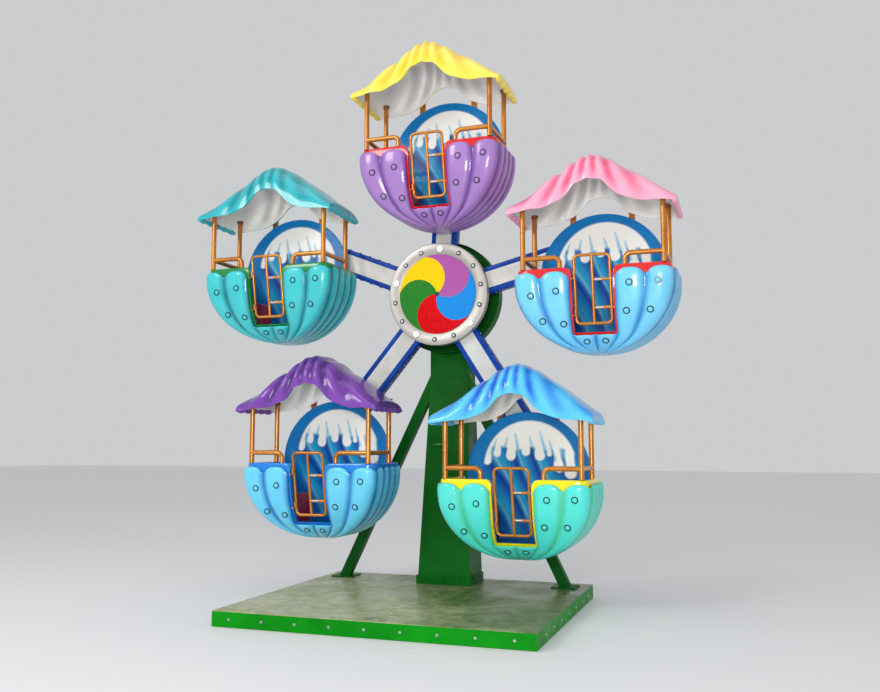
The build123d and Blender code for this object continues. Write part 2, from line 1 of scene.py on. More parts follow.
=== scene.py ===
"""Looks of the five-cabin mini Ferris wheel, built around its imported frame.

Metres, origin under the middle of the platform, +X right, +Y back, +Z up.
A cabin's pieces are made once about its swing pivot, then copied to each cabin.
"""

import json
from math import asin, atan2, cos, hypot, pi, radians, sin, sqrt

import bpy
from mathutils import Matrix, Vector


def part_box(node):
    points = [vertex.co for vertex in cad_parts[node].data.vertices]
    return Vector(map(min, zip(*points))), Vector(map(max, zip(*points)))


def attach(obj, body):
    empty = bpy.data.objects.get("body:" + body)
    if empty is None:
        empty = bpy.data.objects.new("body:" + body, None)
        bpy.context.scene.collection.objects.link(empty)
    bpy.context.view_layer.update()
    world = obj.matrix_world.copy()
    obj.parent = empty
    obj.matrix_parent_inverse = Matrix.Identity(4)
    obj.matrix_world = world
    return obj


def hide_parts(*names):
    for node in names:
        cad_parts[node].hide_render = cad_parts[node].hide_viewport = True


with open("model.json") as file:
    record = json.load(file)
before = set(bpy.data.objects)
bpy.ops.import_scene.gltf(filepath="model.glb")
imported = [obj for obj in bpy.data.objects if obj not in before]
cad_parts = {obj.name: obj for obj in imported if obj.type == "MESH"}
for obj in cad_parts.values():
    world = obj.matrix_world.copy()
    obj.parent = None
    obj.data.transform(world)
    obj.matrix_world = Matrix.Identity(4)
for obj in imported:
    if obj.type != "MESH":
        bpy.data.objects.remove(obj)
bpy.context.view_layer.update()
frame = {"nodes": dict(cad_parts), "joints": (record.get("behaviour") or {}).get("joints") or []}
nodes = frame["nodes"]

# ---------------------------------------------------------------- places taken from the frame
cover_low, cover_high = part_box("hub_cover")
hub = Vector(((cover_low.x + cover_high.x) / 2, 0, (cover_low.z + cover_high.z) / 2))
cover_radius = (cover_high.x - cover_low.x) / 2
cover_front = cover_low.y + 0.0103
cover_back = cover_high.y
pivots = {}
for joint in frame["joints"]:
    if joint["name"].startswith("cabin_"):
        x, y, z = joint["pos_m"]
        pivots[joint["name"][6]] = Vector((x, 0, z))


# ---------------------------------------------------------------- modelling helpers
def deselect():
    bpy.ops.object.select_all(action="DESELECT")


def activate(piece):
    deselect()
    piece.select_set(True)
    bpy.context.view_layer.objects.active = piece


def take(name):
    """Name the newest primitive and its mesh."""
    piece = bpy.context.object
    piece.name = name
    piece.data.name = name
    return piece


def settle(piece):
    """Move a piece's place into its mesh, so that its object sits at the origin."""
    activate(piece)
    bpy.ops.object.transform_apply(location=True, rotation=True, scale=True)


def apply_modifiers(piece):
    activate(piece)
    for modifier in list(piece.modifiers):
        bpy.ops.object.modifier_apply(modifier=modifier.name)


def round_edges(piece, width, segments=3, angle=35):
    """Bevel the edges sharper than an angle."""
    bevel = piece.modifiers.new("edges", "BEVEL")
    bevel.width = width
    bevel.segments = segments
    bevel.limit_method = "ANGLE"
    bevel.angle_limit = radians(angle)
    apply_modifiers(piece)


def thicken(piece, wall, offset=-1.0, inner=0):
    """Give a skin its wall, whose inner side may have its own finish."""
    solid = piece.modifiers.new("wall", "SOLIDIFY")
    solid.thickness = wall
    solid.offset = offset
    solid.use_even_offset = True
    solid.thickness_clamp = 1.0
    solid.material_offset = inner
    apply_modifiers(piece)


def refine(piece):
    """Subdivide a piece smoothly."""
    subdivision = piece.modifiers.new("refine", "SUBSURF")
    subdivision.levels = 1
    subdivision.render_levels = 1
    apply_modifiers(piece)


def smooth(piece, angle=35):
    activate(piece)
    bpy.ops.object.shade_smooth_by_angle(angle=radians(angle))


def edit_faces(piece, wanted):
    """Open a piece for editing with only the wanted faces selected."""
    activate(piece)
    bpy.ops.object.mode_set(mode="EDIT")
    bpy.ops.mesh.select_mode(type="FACE")
    bpy.ops.mesh.select_all(action="DESELECT")
    bpy.ops.object.mode_set(mode="OBJECT")
    for face in piece.data.polygons:
        face.select = wanted(face)
    bpy.ops.object.mode_set(mode="EDIT")


def edit_edges(piece, wanted):
    """Open a piece for editing with only the edges between wanted points selected."""
    activate(piece)
    bpy.ops.object.mode_set(mode="EDIT")
    bpy.ops.mesh.select_mode(type="EDGE")
    bpy.ops.mesh.select_all(action="DESELECT")
    bpy.ops.mesh.select_non_manifold()
    bpy.ops.object.mode_set(mode="OBJECT")
    points = piece.data.vertices
    for edge in piece.data.edges:
        edge.select = edge.select and all(wanted(points[i].co) for i in edge.vertices)
    bpy.ops.object.mode_set(mode="EDIT")


def leave():
    bpy.ops.object.mode_set(mode="OBJECT")


def merge(piece, outward=True):
    """Close the seams of a piece and turn its faces outwards."""
    edit_faces(piece, lambda face: True)
    bpy.ops.mesh.remove_doubles(threshold=0.0002)
    if outward:
        bpy.ops.mesh.normals_make_consistent(inside=False)
    leave()


def join(name, pieces):
    """Make several pieces one."""
    activate(pieces[0])
    for piece in pieces:
        piece.select_set(True)
    bpy.ops.object.join()
    return take(name)


def copy_to(piece, name, place):
    """Copy a piece with its own mesh, moved by a matrix."""
    mesh = piece.data.copy()
    mesh.name = name
    mesh.transform(place)
    made = bpy.data.objects.new(name, mesh)
    bpy.context.scene.collection.objects.link(made)
    return made


def moulded(name, columns, rows, place, keep=None):
    """A grid whose points a function of their column and row puts in place."""
    deselect()
    bpy.ops.mesh.primitive_grid_add(x_subdivisions=columns, y_subdivisions=rows, size=2)
    piece = take(name)
    mesh = piece.data
    cells = [
        (int((face.center.x + 1) / 2 * columns), int((1 - face.center.y) / 2 * rows))
        for face in mesh.polygons
    ]
    for point in mesh.vertices:
        column = round((point.co.x + 1) / 2 * columns)
        row = round((1 - point.co.y) / 2 * rows)
        point.co = place(column, row)
    if keep:
        edit_faces(piece, lambda face: not keep(*cells[face.index]))
        bpy.ops.mesh.delete(type="FACE")
        leave()
    return piece


def drum(name, radius, depth, centre, sides=48, turn=(pi / 2, 0, 0)):
    """A cylinder along y."""
    deselect()
    bpy.ops.mesh.primitive_cylinder_add(
        vertices=sides, radius=radius, depth=depth, location=centre, rotation=turn
    )
    piece = take(name)
    settle(piece)
    return piece


def block(name, low, high):
    """A box between two corners."""
    deselect()
    centre = [(a + b) / 2 for a, b in zip(low, high)]
    bpy.ops.mesh.primitive_cube_add(size=1, location=centre)
    piece = take(name)
    piece.scale = [b - a for a, b in zip(low, high)]
    settle(piece)
    return piece


# ---------------------------------------------------------------- finishes
def tint(red, green, blue):
    """A screen colour from 0 to 255, as the shader's light values."""
    values = []
    for value in (red, green, blue):
        value /= 255
        values.append(value / 12.92 if value <= 0.04045 else ((value + 0.055) / 1.055) ** 2.4)
    return (*values, 1.0)


def new_finish(name, roughness, metallic=0.0, coat=0.0, coat_roughness=0.06, gloss=0.22):
    material = bpy.data.materials.new(name)
    material.use_nodes = True
    shader = material.node_tree.nodes["Principled BSDF"]
    shader.inputs["Roughness"].default_value = roughness
    shader.inputs["Metallic"].default_value = metallic
    shader.inputs["Coat Weight"].default_value = coat
    shader.inputs["Coat Roughness"].default_value = coat_roughness
    shader.inputs["Specular IOR Level"].default_value = gloss
    return material, shader


def add(material, kind, **settings):
    node = material.node_tree.nodes.new(kind)
    for key, value in settings.items():
        setattr(node, key, value)
    return node


def link(material, start, end):
    material.node_tree.links.new(start, end)


def object_place(material, stretch=(1, 1, 1)):
    """Object coordinates, stretched."""
    coordinates = add(material, "ShaderNodeTexCoord")
    mapping = add(material, "ShaderNodeMapping")
    mapping.inputs["Scale"].default_value = stretch
    link(material, coordinates.outputs["Object"], mapping.inputs["Vector"])
    return mapping.outputs["Vector"]


def noise(material, scale, detail=4.0, rough=0.5, stretch=(1, 1, 1), warp=0.0):
    texture = add(material, "ShaderNodeTexNoise")
    texture.inputs["Scale"].default_value = scale
    texture.inputs["Detail"].default_value = detail
    texture.inputs["Roughness"].default_value = rough
    texture.inputs["Distortion"].default_value = warp
    link(material, object_place(material, stretch), texture.inputs["Vector"])
    return texture.outputs["Fac"]


def spread(material, value, low, high, to_low=0.0, to_high=1.0):
    """Remap a value's range, held at both ends."""
    remap = add(material, "ShaderNodeMapRange", clamp=True)
    remap.inputs["From Min"].default_value = low
    remap.inputs["From Max"].default_value = high
    remap.inputs["To Min"].default_value = to_low
    remap.inputs["To Max"].default_value = to_high
    link(material, value, remap.inputs["Value"])
    return remap.outputs["Result"]


def blend_colours(material, share, first, second):
    """Mix two colours, each a value or another node's output."""
    mix = add(material, "ShaderNodeMix", data_type="RGBA")
    link(material, share, mix.inputs[0])
    for socket, colour in ((mix.inputs[6], first), (mix.inputs[7], second)):
        if isinstance(colour, tuple):
            socket.default_value = colour
        else:
            link(material, colour, socket)
    return mix.outputs[2]


def set_colour(material, shader, colour):
    link(material, colour, shader.inputs["Base Color"])


def set_roughness(material, shader, value):
    link(material, value, shader.inputs["Roughness"])


def attribute(material, name):
    return add(material, "ShaderNodeAttribute", attribute_name=name)


def relief(material, shader, height, distance, strength=1.0, before=None):
    """Bump a shader's surface by a height."""
    bump = add(material, "ShaderNodeBump")
    bump.inputs["Distance"].default_value = distance
    bump.inputs["Strength"].default_value = strength
    link(material, height, bump.inputs["Height"])
    if before is not None:
        link(material, before, bump.inputs["Normal"])
    link(material, bump.outputs["Normal"], shader.inputs["Normal"])
    return bump.outputs["Normal"]


def enamel(name, colour, darker, roughness=0.32, coat=0.35, patch=3.0, ripple=0.0006,
           wear=None, gloss=0.2):
    """Brushed or sprayed enamel: patchy colour, a little orange peel, and worn spots."""
    material, shader = new_finish(name, roughness, coat=coat, coat_roughness=0.12, gloss=gloss)
    patches = spread(material, noise(material, patch, 5, 0.6), 0.35, 0.68)
    paint = blend_colours(material, patches, darker, colour)
    if wear:
        spots = spread(material, noise(material, 38, 8, 0.72), 0.66, 0.72)
        paint = blend_colours(material, spots, paint, wear)
    set_colour(material, shader, paint)
    sheen = noise(material, patch * 3, 4)
    sheen = spread(material, sheen, 0.3, 0.7, roughness * 0.7, roughness * 1.4)
    set_roughness(material, shader, sheen)
    relief(material, shader, noise(material, 160, 3), ripple)
    return material


def scuffed(material, low, high):
    """Add white sideways scrapes to an enamel between two heights."""
    shader = material.node_tree.nodes["Principled BSDF"]
    paint = shader.inputs["Base Color"].links[0].from_socket
    place = add(material, "ShaderNodeSeparateXYZ")
    link(material, object_place(material), place.inputs[0])
    middle = (low + high) / 2
    above = spread(material, place.outputs["Z"], low, middle)
    below = spread(material, place.outputs["Z"], high, middle)
    band = add(material, "ShaderNodeMath", operation="MULTIPLY")
    link(material, above, band.inputs[0])
    link(material, below, band.inputs[1])
    scrapes = spread(material, noise(material, 16, 8, 0.75, (0.5, 1, 5)), 0.62, 0.68)
    share = add(material, "ShaderNodeMath", operation="MULTIPLY")
    link(material, band.outputs[0], share.inputs[0])
    link(material, scrapes, share.inputs[1])
    worn = blend_colours(material, share.outputs[0], paint, tint(190, 214, 190))
    set_colour(material, shader, worn)


def gel_coat(name, colour, valley, guide="valley_shade"):
    """Glossy moulded skin, blended towards a second, darker colour along its valleys or folds: painted shade
    in the hollows.
    """
    material, shader = new_finish(name, 0.3, coat=0.4, coat_roughness=0.07, gloss=0.3)
    # The guide attribute gives the painted shade of the valleys or folds.
    shade = attribute(material, guide).outputs["Fac"]
    patches = spread(material, noise(material, 7, 3, 0.5), 0.3, 0.7, -0.12, 0.12)
    total = add(material, "ShaderNodeMath", operation="ADD", use_clamp=True)
    link(material, shade, total.inputs[0])
    link(material, patches, total.inputs[1])
    set_colour(material, shader, blend_colours(material, total.outputs[0], colour, valley))
    set_roughness(material, shader, spread(material, noise(material, 14, 4), 0.3, 0.7, 0.16, 0.3))
    waves = relief(material, shader, noise(material, 8, 2, 0.4), 0.010, 0.5)
    relief(material, shader, noise(material, 120, 3), 0.0004, 0.6, before=waves)
    return material


def metal(name, colour, roughness, grain=(1, 1, 1), scale=60.0):
    """Bare metal with a directional grain."""
    material, shader = new_finish(name, roughness, metallic=1.0)
    lines = noise(material, scale, 6, 0.65, stretch=grain)
    dull = tuple(value * 0.72 for value in colour[:3]) + (1.0,)
    bright = spread(material, lines, 0.3, 0.7)
    set_colour(material, shader, blend_colours(material, bright, dull, colour))
    sheen = spread(material, lines, 0.3, 0.7, roughness * 0.75, roughness * 1.35)
    set_roughness(material, shader, sheen)
    relief(material, shader, lines, 0.0002, 0.5)
    return material


def lamp_glass(name, glow=0.0):
    """Clear white cap, faintly mottled."""
    material, shader = new_finish(name, 0.12, coat=1.0)
    cloud = spread(material, noise(material, 90, 2), 0.3, 0.7)
    set_colour(material, shader, blend_colours(material, cloud, tint(205, 216, 218), tint(246, 250, 250)))
    if glow:
        shader.inputs["Emission Color"].default_value = tint(245, 250, 255)
        shader.inputs["Emission Strength"].default_value = glow
    relief(material, shader, noise(material, 260, 2), 0.0003, 0.4)
    return material


def pale_lining():
    """Off-white underside of a canopy, greyer along its folds as painted shade, with a faint glow as painted
    light that brightens it.
    """
    material, shader = new_finish("lining_with_painted_light", 0.42, coat=0.1)
    fold_shade = attribute(material, "fold_shade").outputs["Fac"]
    patches = spread(material, noise(material, 6, 5, 0.6), 0.35, 0.7)
    white = blend_colours(material, patches, tint(226, 225, 219), tint(244, 243, 238))
    # Grey along the folds: painted shade.
    set_colour(material, shader, blend_colours(material, fold_shade, white, tint(178, 178, 176)))
    # Faint glow: painted light on the underside, which is no lamp.
    shader.inputs["Emission Color"].default_value = tint(240, 238, 232)
    shader.inputs["Emission Strength"].default_value = 0.06
    relief(material, shader, noise(material, 18, 3), 0.002, 0.4)
    return material


def worn_deck():
    """Green paint worn through to grey plate, the grey more towards the front left and the green towards the
    back right, with a wet sheen.
    """
    material, shader = new_finish("worn_deck", 0.36, coat=0.1, coat_roughness=0.18)
    place = add(material, "ShaderNodeSeparateXYZ")
    link(material, object_place(material, (0.42, 0.22, 1)), place.inputs[0])
    # The grey is spread more towards the front left and the green towards the back right.
    lean = add(material, "ShaderNodeMath", operation="ADD")
    link(material, place.outputs["X"], lean.inputs[0])
    link(material, place.outputs["Y"], lean.inputs[1])
    patches = add(material, "ShaderNodeMath", operation="SUBTRACT")
    link(material, noise(material, 1.6, 6, 0.62, warp=0.6), patches.inputs[0])
    link(material, lean.outputs[0], patches.inputs[1])
    broad = spread(material, patches.outputs[0], 0.32, 0.66)
    fine = spread(material, noise(material, 11, 8, 0.7), 0.42, 0.62)
    grey = blend_colours(material, fine, tint(146, 154, 112), tint(182, 188, 146))
    green = blend_colours(material, fine, tint(78, 102, 52), tint(108, 126, 78))
    mixed = blend_colours(material, broad, green, grey)
    stains = spread(material, noise(material, 4.2, 9, 0.75), 0.60, 0.70)
    set_colour(material, shader, blend_colours(material, stains, mixed, tint(44, 74, 36)))
    set_roughness(material, shader, spread(material, noise(material, 3.1, 6), 0.35, 0.65, 0.22, 0.5))
    relief(material, shader, noise(material, 26, 6, 0.6), 0.0012, 0.4)
    return material


def pinwheel_paint():
    """Five curved sectors of colour turning about the hub."""
    material, shader = new_finish("pinwheel_paint", 0.45, coat=0.0, gloss=0.06)
    coordinates = add(material, "ShaderNodeTexCoord")
    split = add(material, "ShaderNodeSeparateXYZ")
    link(material, coordinates.outputs["Object"], split.inputs[0])

    def maths(operation, first, second=None):
        node = add(material, "ShaderNodeMath", operation=operation)
        for socket, value in zip(node.inputs, (first, second)):
            if isinstance(value, (int, float)):
                socket.default_value = value
            elif value is not None:
                link(material, value, socket)
        return node.outputs[0]

    across = maths("SUBTRACT", split.outputs["X"], hub.x)
    up = maths("SUBTRACT", split.outputs["Z"], hub.z)
    angle = maths("ARCTAN2", up, across)
    square = maths("ADD", maths("MULTIPLY", across, across), maths("MULTIPLY", up, up))
    reach = maths("DIVIDE", maths("SQRT", square), pinwheel_radius * swirl_size)
    lead = maths("SUBTRACT", angle, maths("ARCSINE", reach))
    turned = maths("ADD", lead, asin(1 / swirl_size))
    share = maths("FRACT", maths("DIVIDE", turned, 2 * pi))
    ramp = add(material, "ShaderNodeValToRGB")
    ramp.color_ramp.interpolation = "CONSTANT"
    sectors = [
        (0.0, tint(30, 140, 222)), (0.100, tint(176, 92, 165)), (0.303, tint(252, 208, 6)),
        (0.492, tint(42, 128, 40)), (0.697, tint(214, 8, 18)), (0.900, tint(30, 140, 222)),
    ]
    stops = ramp.color_ramp.elements
    for start, colour in sectors[2:]:
        stops.new(start)
    for stop, (start, colour) in zip(stops, sectors):
        stop.position = start
        stop.color = colour
    link(material, share, ramp.inputs["Fac"])
    dust = spread(material, noise(material, 60, 8, 0.7), 0.55, 0.8, 0.0, 0.08)
    dusty = blend_colours(material, dust, ramp.outputs["Color"], tint(235, 235, 235))
    set_colour(material, shader, dusty)
    relief(material, shader, noise(material, 140, 3), 0.0003)
    return material


def wave_paint():
    """Painted sea panel: its colours come from the painting on the mesh."""
    material, shader = new_finish("wave_paint", 0.34, coat=0.12, gloss=0.12)
    painting = attribute(material, "painting").outputs["Color"]
    grain = spread(material, noise(material, 34, 5, 0.6), 0.35, 0.7, 0.0, 0.015)
    set_colour(material, shader, blend_colours(material, grain, painting, tint(225, 238, 245)))
    relief(material, shader, noise(material, 90, 3), 0.0005)
    return material


pinwheel_radius = 0.290
swirl_size = 1.055
green = enamel("green_enamel", tint(4, 98, 20), tint(0, 76, 12), 0.42, 0.03, 2.2, 0.0008, gloss=0.1)
tower_green = enamel(
    "tower_green_enamel", tint(4, 102, 20), tint(0, 78, 12), 0.42, 0.03, 1.8, 0.0008, tint(44, 124, 52), 0.1
)
scuffed(tower_green, 0.96, 1.18)
skirt_green = enamel(
    "skirt_green_enamel", tint(4, 148, 16), tint(0, 126, 12), 0.38, 0.04, 3.0, 0.0008, gloss=0.1
)
bronze = enamel("bronze_enamel", tint(214, 142, 58), tint(184, 112, 40), 0.26, 0.3, 4.0, 0.0003, gloss=0.4)
bronze.node_tree.nodes["Principled BSDF"].inputs["Metallic"].default_value = 0.6
socket_brown = enamel("socket_brown", tint(150, 92, 48), tint(112, 66, 34), 0.4, 0.1, 12.0)
white_enamel = enamel("white_enamel", tint(224, 222, 214), tint(204, 202, 194), 0.36, 0.15, 5.0)
blue_enamel = enamel("blue_enamel", tint(4, 70, 166), tint(2, 52, 140), 0.4, 0.04, 7.0, gloss=0.12)
back_blue = enamel("back_blue", tint(2, 108, 180), tint(0, 88, 160), 0.36, 0.06, 5.0, gloss=0.12)
motor_grey = enamel("motor_enamel", tint(84, 96, 110), tint(58, 68, 80), 0.4, 0.2)
brushed_cover = metal("brushed_cover", tint(190, 184, 176), 0.36, (1, 1, 14), 40)
brushed_cover.node_tree.nodes["Principled BSDF"].inputs["Metallic"].default_value = 0.55
zinc = metal("zinc_plate", tint(206, 208, 210), 0.34, (1, 1, 1), 120)
machined = metal("machined_steel", tint(160, 163, 168), 0.36, (12, 12, 1), 60)
dark_ring = enamel("lamp_bezel", tint(46, 58, 66), tint(24, 32, 38), 0.3, 0.5, 40.0)
cap_glass = lamp_glass("lamp_cap")
cap_lit = lamp_glass("lamp_cap_lit", 3.0)
deck_finish = worn_deck()
pinwheel_finish = pinwheel_paint()
wave_finish = wave_paint()
lining_with_painted_light = pale_lining()
bench_red = enamel("bench_red", tint(196, 26, 24), tint(160, 14, 14), 0.25, 0.6, 5.0)
bench_navy = enamel("bench_navy", tint(20, 60, 120), tint(10, 34, 80), 0.25, 0.6, 5.0)
bench_teal = enamel("bench_teal", tint(34, 116, 172), tint(20, 84, 140), 0.25, 0.6, 5.0)

# Per cabin, bowl and roof each pair the colour of the crowns or ridges with the darker colour of the valleys
# or folds, which is painted shade; a roof's pale ridge colour is also painted highlight.
cabin_colours = {
    "a": {"bowl": ((164, 124, 192), (98, 54, 142)), "liner": (224, 18, 28),
          "roof": ((250, 228, 92), (246, 194, 0)), "folds": 0.0085, "peak": 0.0},
    "b": {"bowl": ((62, 196, 200), (6, 112, 126)), "liner": (24, 136, 62),
          "roof": ((42, 178, 186), (8, 130, 140)), "folds": 0.0035, "peak": 0.034},
    "c": {"bowl": ((104, 208, 246), (20, 112, 190)), "liner": (28, 132, 226),
          "roof": ((122, 66, 166), (66, 26, 108)), "folds": 0.0095, "peak": 0.018},
    "d": {"bowl": ((80, 226, 214), (70, 198, 150)), "liner": (252, 236, 10),
          "roof": ((92, 200, 250), (0, 98, 214)), "folds": 0.0045, "peak": 0.024},
    "e": {"bowl": ((118, 206, 244), (30, 128, 196)), "liner": (232, 36, 40),
          "roof": ((250, 170, 196), (240, 84, 128)), "folds": 0.008, "peak": 0.004},
}

# ---------------------------------------------------------------- bowl of a cabin, about its pivot
bowl_half_width = 0.505
bowl_flank_z = -0.340
bowl_bottom_z = -0.790
bowl_back_y = 0.368
bowl_nose_y = 0.200
bowl_nose_z = -0.285
bowl_front_y = -0.100
bowl_corner = 15.0
petal_top_z = -0.285
petal_door_x = 0.140
petal_sill_z = -0.683
rim_z = -0.260
door_x = 0.132
sill_z = -0.670
petal_wall = 0.010
liner_inset = 0.012
liner_wall = 0.008


def bowl_width(z, inset=0.0):
    """Half the bowl's width at a height."""
    drop = max(bowl_flank_z - z, 0) / (bowl_flank_z - bowl_bottom_z - inset)
    return (bowl_half_width - inset) * sqrt(max(1 - drop**2, 0))


def bowl_depth(z, inset=0.0):
    """How far the bowl's front lies before its back at a height."""
    drop = max(bowl_nose_z - z, 0) / (bowl_nose_z - bowl_bottom_z - inset)
    reach = bowl_nose_y - bowl_front_y - inset
    return bowl_back_y - bowl_nose_y + reach * sqrt(max(1 - drop**2, 0))


def rim_walk():
    """Distances along half the rim from the door's middle, with the shares of width and depth there."""
    walk = [(0.0, 0.0, 1.0)]
    steps = 6000
    for n in range(1, steps + 1):
        turn = pi / 2 * n / steps
        across = sin(turn) ** (2 / bowl_corner)
        ahead = max(cos(turn), 0) ** (2 / bowl_corner)
        far, last_across, last_ahead = walk[-1]
        step = hypot((across - last_across) * bowl_half_width,
                     (ahead - last_ahead) * (bowl_back_y - bowl_front_y))
        walk.append((far + step, across, ahead))
    return walk


rim_steps = rim_walk()
rim_length = rim_steps[-1][0]


def rim_share(distance):
    """Shares of width and depth at a distance from the door's middle along the rim."""
    side = -1 if distance < 0 else 1
    distance = min(abs(distance), rim_length)
    low, high = 0, len(rim_steps) - 1
    while high - low > 1:
        middle = (low + high) // 2
        if rim_steps[middle][0] < distance:
            low = middle
        else:
            high = middle
    start, end = rim_steps[low], rim_steps[high]
    share = (distance - start[0]) / max(end[0] - start[0], 1e-9)
    across = start[1] + (end[1] - start[1]) * share
    ahead = start[2] + (end[2] - start[2]) * share
    return side * across, ahead


def bowl_point(distance, z, inset=0.0):
    """Point of the bowl's skin at a distance along the rim and a height."""
    across, ahead = rim_share(distance)
    width = bowl_width(z, inset)
    door = petal_door_x * min(1.0, width / (petal_door_x * 2.18))
    rim_x = abs(across) * bowl_half_width
    if rim_x <= petal_door_x:
        x = rim_x / petal_door_x * door
    else:
        x = door + (rim_x - petal_door_x) / (bowl_half_width - petal_door_x) * (width - door)
    x = x if across >= 0 else -x
    return Vector((x, bowl_back_y - ahead * bowl_depth(z, inset), z))


def bowl_normal(distance, z):
    """Outward direction of the bowl's skin."""
    here = bowl_point(distance, z)
    along = bowl_point(distance + 0.002, z) - bowl_point(distance - 0.002, z)
    down = bowl_point(distance, z - 0.002) - here
    normal = along.cross(down)
    if normal.length < 1e-12:
        return Vector((0, 0, -1))
    normal.normalize()
    if normal.dot(here - Vector((0, 0.25, -0.45))) < 0:
        normal.negate()
    return normal


def meridian_height(length, start):
    """Height after going down the bowl by a length from a starting height."""
    straight = start - bowl_flank_z
    depth = bowl_flank_z - bowl_bottom_z
    if length <= straight:
        return start - length
    if straight < 0:
        length += depth * asin(-straight / depth)
        straight = 0
    return bowl_flank_z - depth * sin(min((length - straight) / depth, pi / 2))


valleys = [0.0, petal_door_x, 0.334, 0.528]
flute_count = 4
flute = (rim_length - valleys[-1]) / flute_count
valleys += [valleys[3] + flute * (n + 1) for n in range(flute_count)]
valley_cells = [8, 9, 9] + [6] * flute_count


def petal_columns():
    """Signed distances of the columns of points, each with its petal and its place across it."""
    half = []
    for petal, cells in enumerate(valley_cells):
        start, end = valleys[petal], valleys[petal + 1]
        for n in range(cells):
            half.append((start + (end - start) * n / cells, petal, n / cells))
    half.append((rim_length, len(valley_cells) - 1, 1.0))
    left = [(-distance, petal, share) for distance, petal, share in half[:0:-1]]
    return left + half


columns = petal_columns()
front_petals = (1, 2)
scallops = {0: 0.016, 1: 0.052, 2: 0.052}
flute_scallop = 0.022
front_crown = 0.020
flute_crown = 0.017
lip_rows = [0.0, 0.003, 0.008, 0.015, 0.026]
upper_rows = 15
lower_rows = 9
lip_end = len(lip_rows) - 1
sill_row = lip_end + upper_rows
flank_drop = bowl_flank_z - bowl_bottom_z


def petal_shape(share):
    """Crown of a petal, from 0 in the valleys to 1 in its middle."""
    return 1 - abs(2 * share - 1) ** 3.1


def petal_place(column, row):
    distance, petal, share = columns[column]
    scallop = scallops.get(petal, flute_scallop)
    top = petal_top_z - scallop * abs(2 * share - 1) ** 3.2
    if row <= lip_end:
        z = meridian_height(lip_rows[row], top)
        roll = sqrt(max(1 - (1 - lip_rows[row] / lip_rows[-1]) ** 2, 0))
    elif row <= sill_row:
        start = meridian_height(lip_rows[-1], top)
        n = row - lip_end
        first = asin(min(max((bowl_flank_z - start) / flank_drop, -0.12), 1))
        last = asin((bowl_flank_z - petal_sill_z) / flank_drop)
        turn = first + (last - first) * n / upper_rows
        z = bowl_flank_z - flank_drop * sin(turn)
        roll = 1.0
    else:
        n = row - sill_row
        first = asin((bowl_flank_z - petal_sill_z) / flank_drop)
        turn = first + (pi / 2 - first) * n / lower_rows
        z = bowl_flank_z - flank_drop * sin(turn)
        roll = 1.0
    if petal == 0 and row == sill_row and 0 < share:
        z -= 0.014 * abs(2 * share - 1) ** 3 * (1 if share < 1 else 0)
    height = front_crown if petal in front_petals else flute_crown
    slim = (bowl_width(z) / bowl_half_width) ** 0.7
    crown = height * petal_shape(share) * roll * slim
    return bowl_point(distance, z) + bowl_normal(distance, z) * crown


def make_petals():
    """Outer skin of the bowl: front petals and side flutes around the doorway."""

    def outside_door(column, row):
        distance = (columns[column][0] + columns[column + 1][0]) / 2
        return abs(distance) > petal_door_x or row >= sill_row

    piece = moulded("petals", len(columns) - 1, sill_row + lower_rows, petal_place, outside_door)
    merge(piece)
    # This attribute marks painted shade, darkest along the valleys between the petals and flutes.
    guide = piece.data.attributes.new("valley_shade", "FLOAT", "POINT")
    edges = [side * valley for valley in valleys for side in (-1, 1)]
    for index, point in enumerate(piece.data.vertices):
        guide.data[index].value = groove_shade(point.co, edges)
    thicken(piece, petal_wall)
    refine(piece)
    smooth(piece, 60)
    return piece


def groove_shade(point, edges):
    """Depth of the painted shade in the valleys at a point of the bowl."""
    width = max(bowl_width(point.z), 0.02)
    nearest = 1.0
    for edge in edges:
        line = bowl_point(edge, max(point.z, bowl_bottom_z + 0.001))
        gap = hypot(line.x - point.x, line.y - point.y) * bowl_half_width / max(width, 0.12)
        nearest = min(nearest, gap)
    return max(0.0, 1 - nearest / 0.046) ** 1.1


def make_bowl_back(name, inset, y, hole, wall):
    """Flat back of the bowl around the panel's opening."""
    rows = 30
    points = []
    for n in range(rows + 1):
        turn = pi / 2 * n / rows
        z = bowl_flank_z - (flank_drop - inset) * sin(turn) if n else petal_top_z
        points.append((bowl_width(z, inset), z))
    outline = points + [(-x, z) for x, z in points[-2::-1]]
    middle = -0.250

    def place(column, row):
        x, z = outline[column]
        reach = hypot(x, z - middle)
        radius = hole + (reach - hole) * row / 3
        return Vector((x / reach * radius, y, middle + (z - middle) / reach * radius))

    piece = moulded(name, len(outline) - 1, 3, place)
    merge(piece, outward=False)
    thicken(piece, wall, offset=1.0 if piece.data.polygons[0].normal.y < 0 else -1.0)
    smooth(piece, 30)
    return piece


rim_profile = [
    (-0.276, 0.046), (-0.264, 0.045), (-0.2605, 0.041), (-0.260, 0.034), (-0.260, 0.018),
    (-0.260, 0.009), (-0.2615, 0.004), (-0.266, 0.001), (-0.274, 0.0),
]
liner_corner = 0.045
return_depth = 0.030
bolt_room = 0.019  # the right jamb's return stops short of the sliding bolts
lip_end_z = -0.307  # the rolled rim ends above the upper bolt beside the door
lip_points = 3


def liner_columns():
    """Signed distances of the liner's columns, close together beside the door."""
    half = [0.0, 0.033, 0.066, 0.099, door_x]
    half += [door_x + step for step in (0.004, 0.010, 0.018, 0.028, liner_corner, 0.062)]
    count = round((rim_length - half[-1]) / 0.018)
    start = half[-1]
    half += [start + (rim_length - start) * n / count for n in range(1, count + 1)]
    return [-distance for distance in half[:0:-1]] + half


def beside_door(point):
    """Whether a point of the liner's edge lies around the doorway, below the rolled rim."""
    front_y = -0.075 if point.z > -0.350 else 0.15
    return abs(point.x) < door_x + 0.004 and point.z > sill_z - 0.002 and point.y < front_y


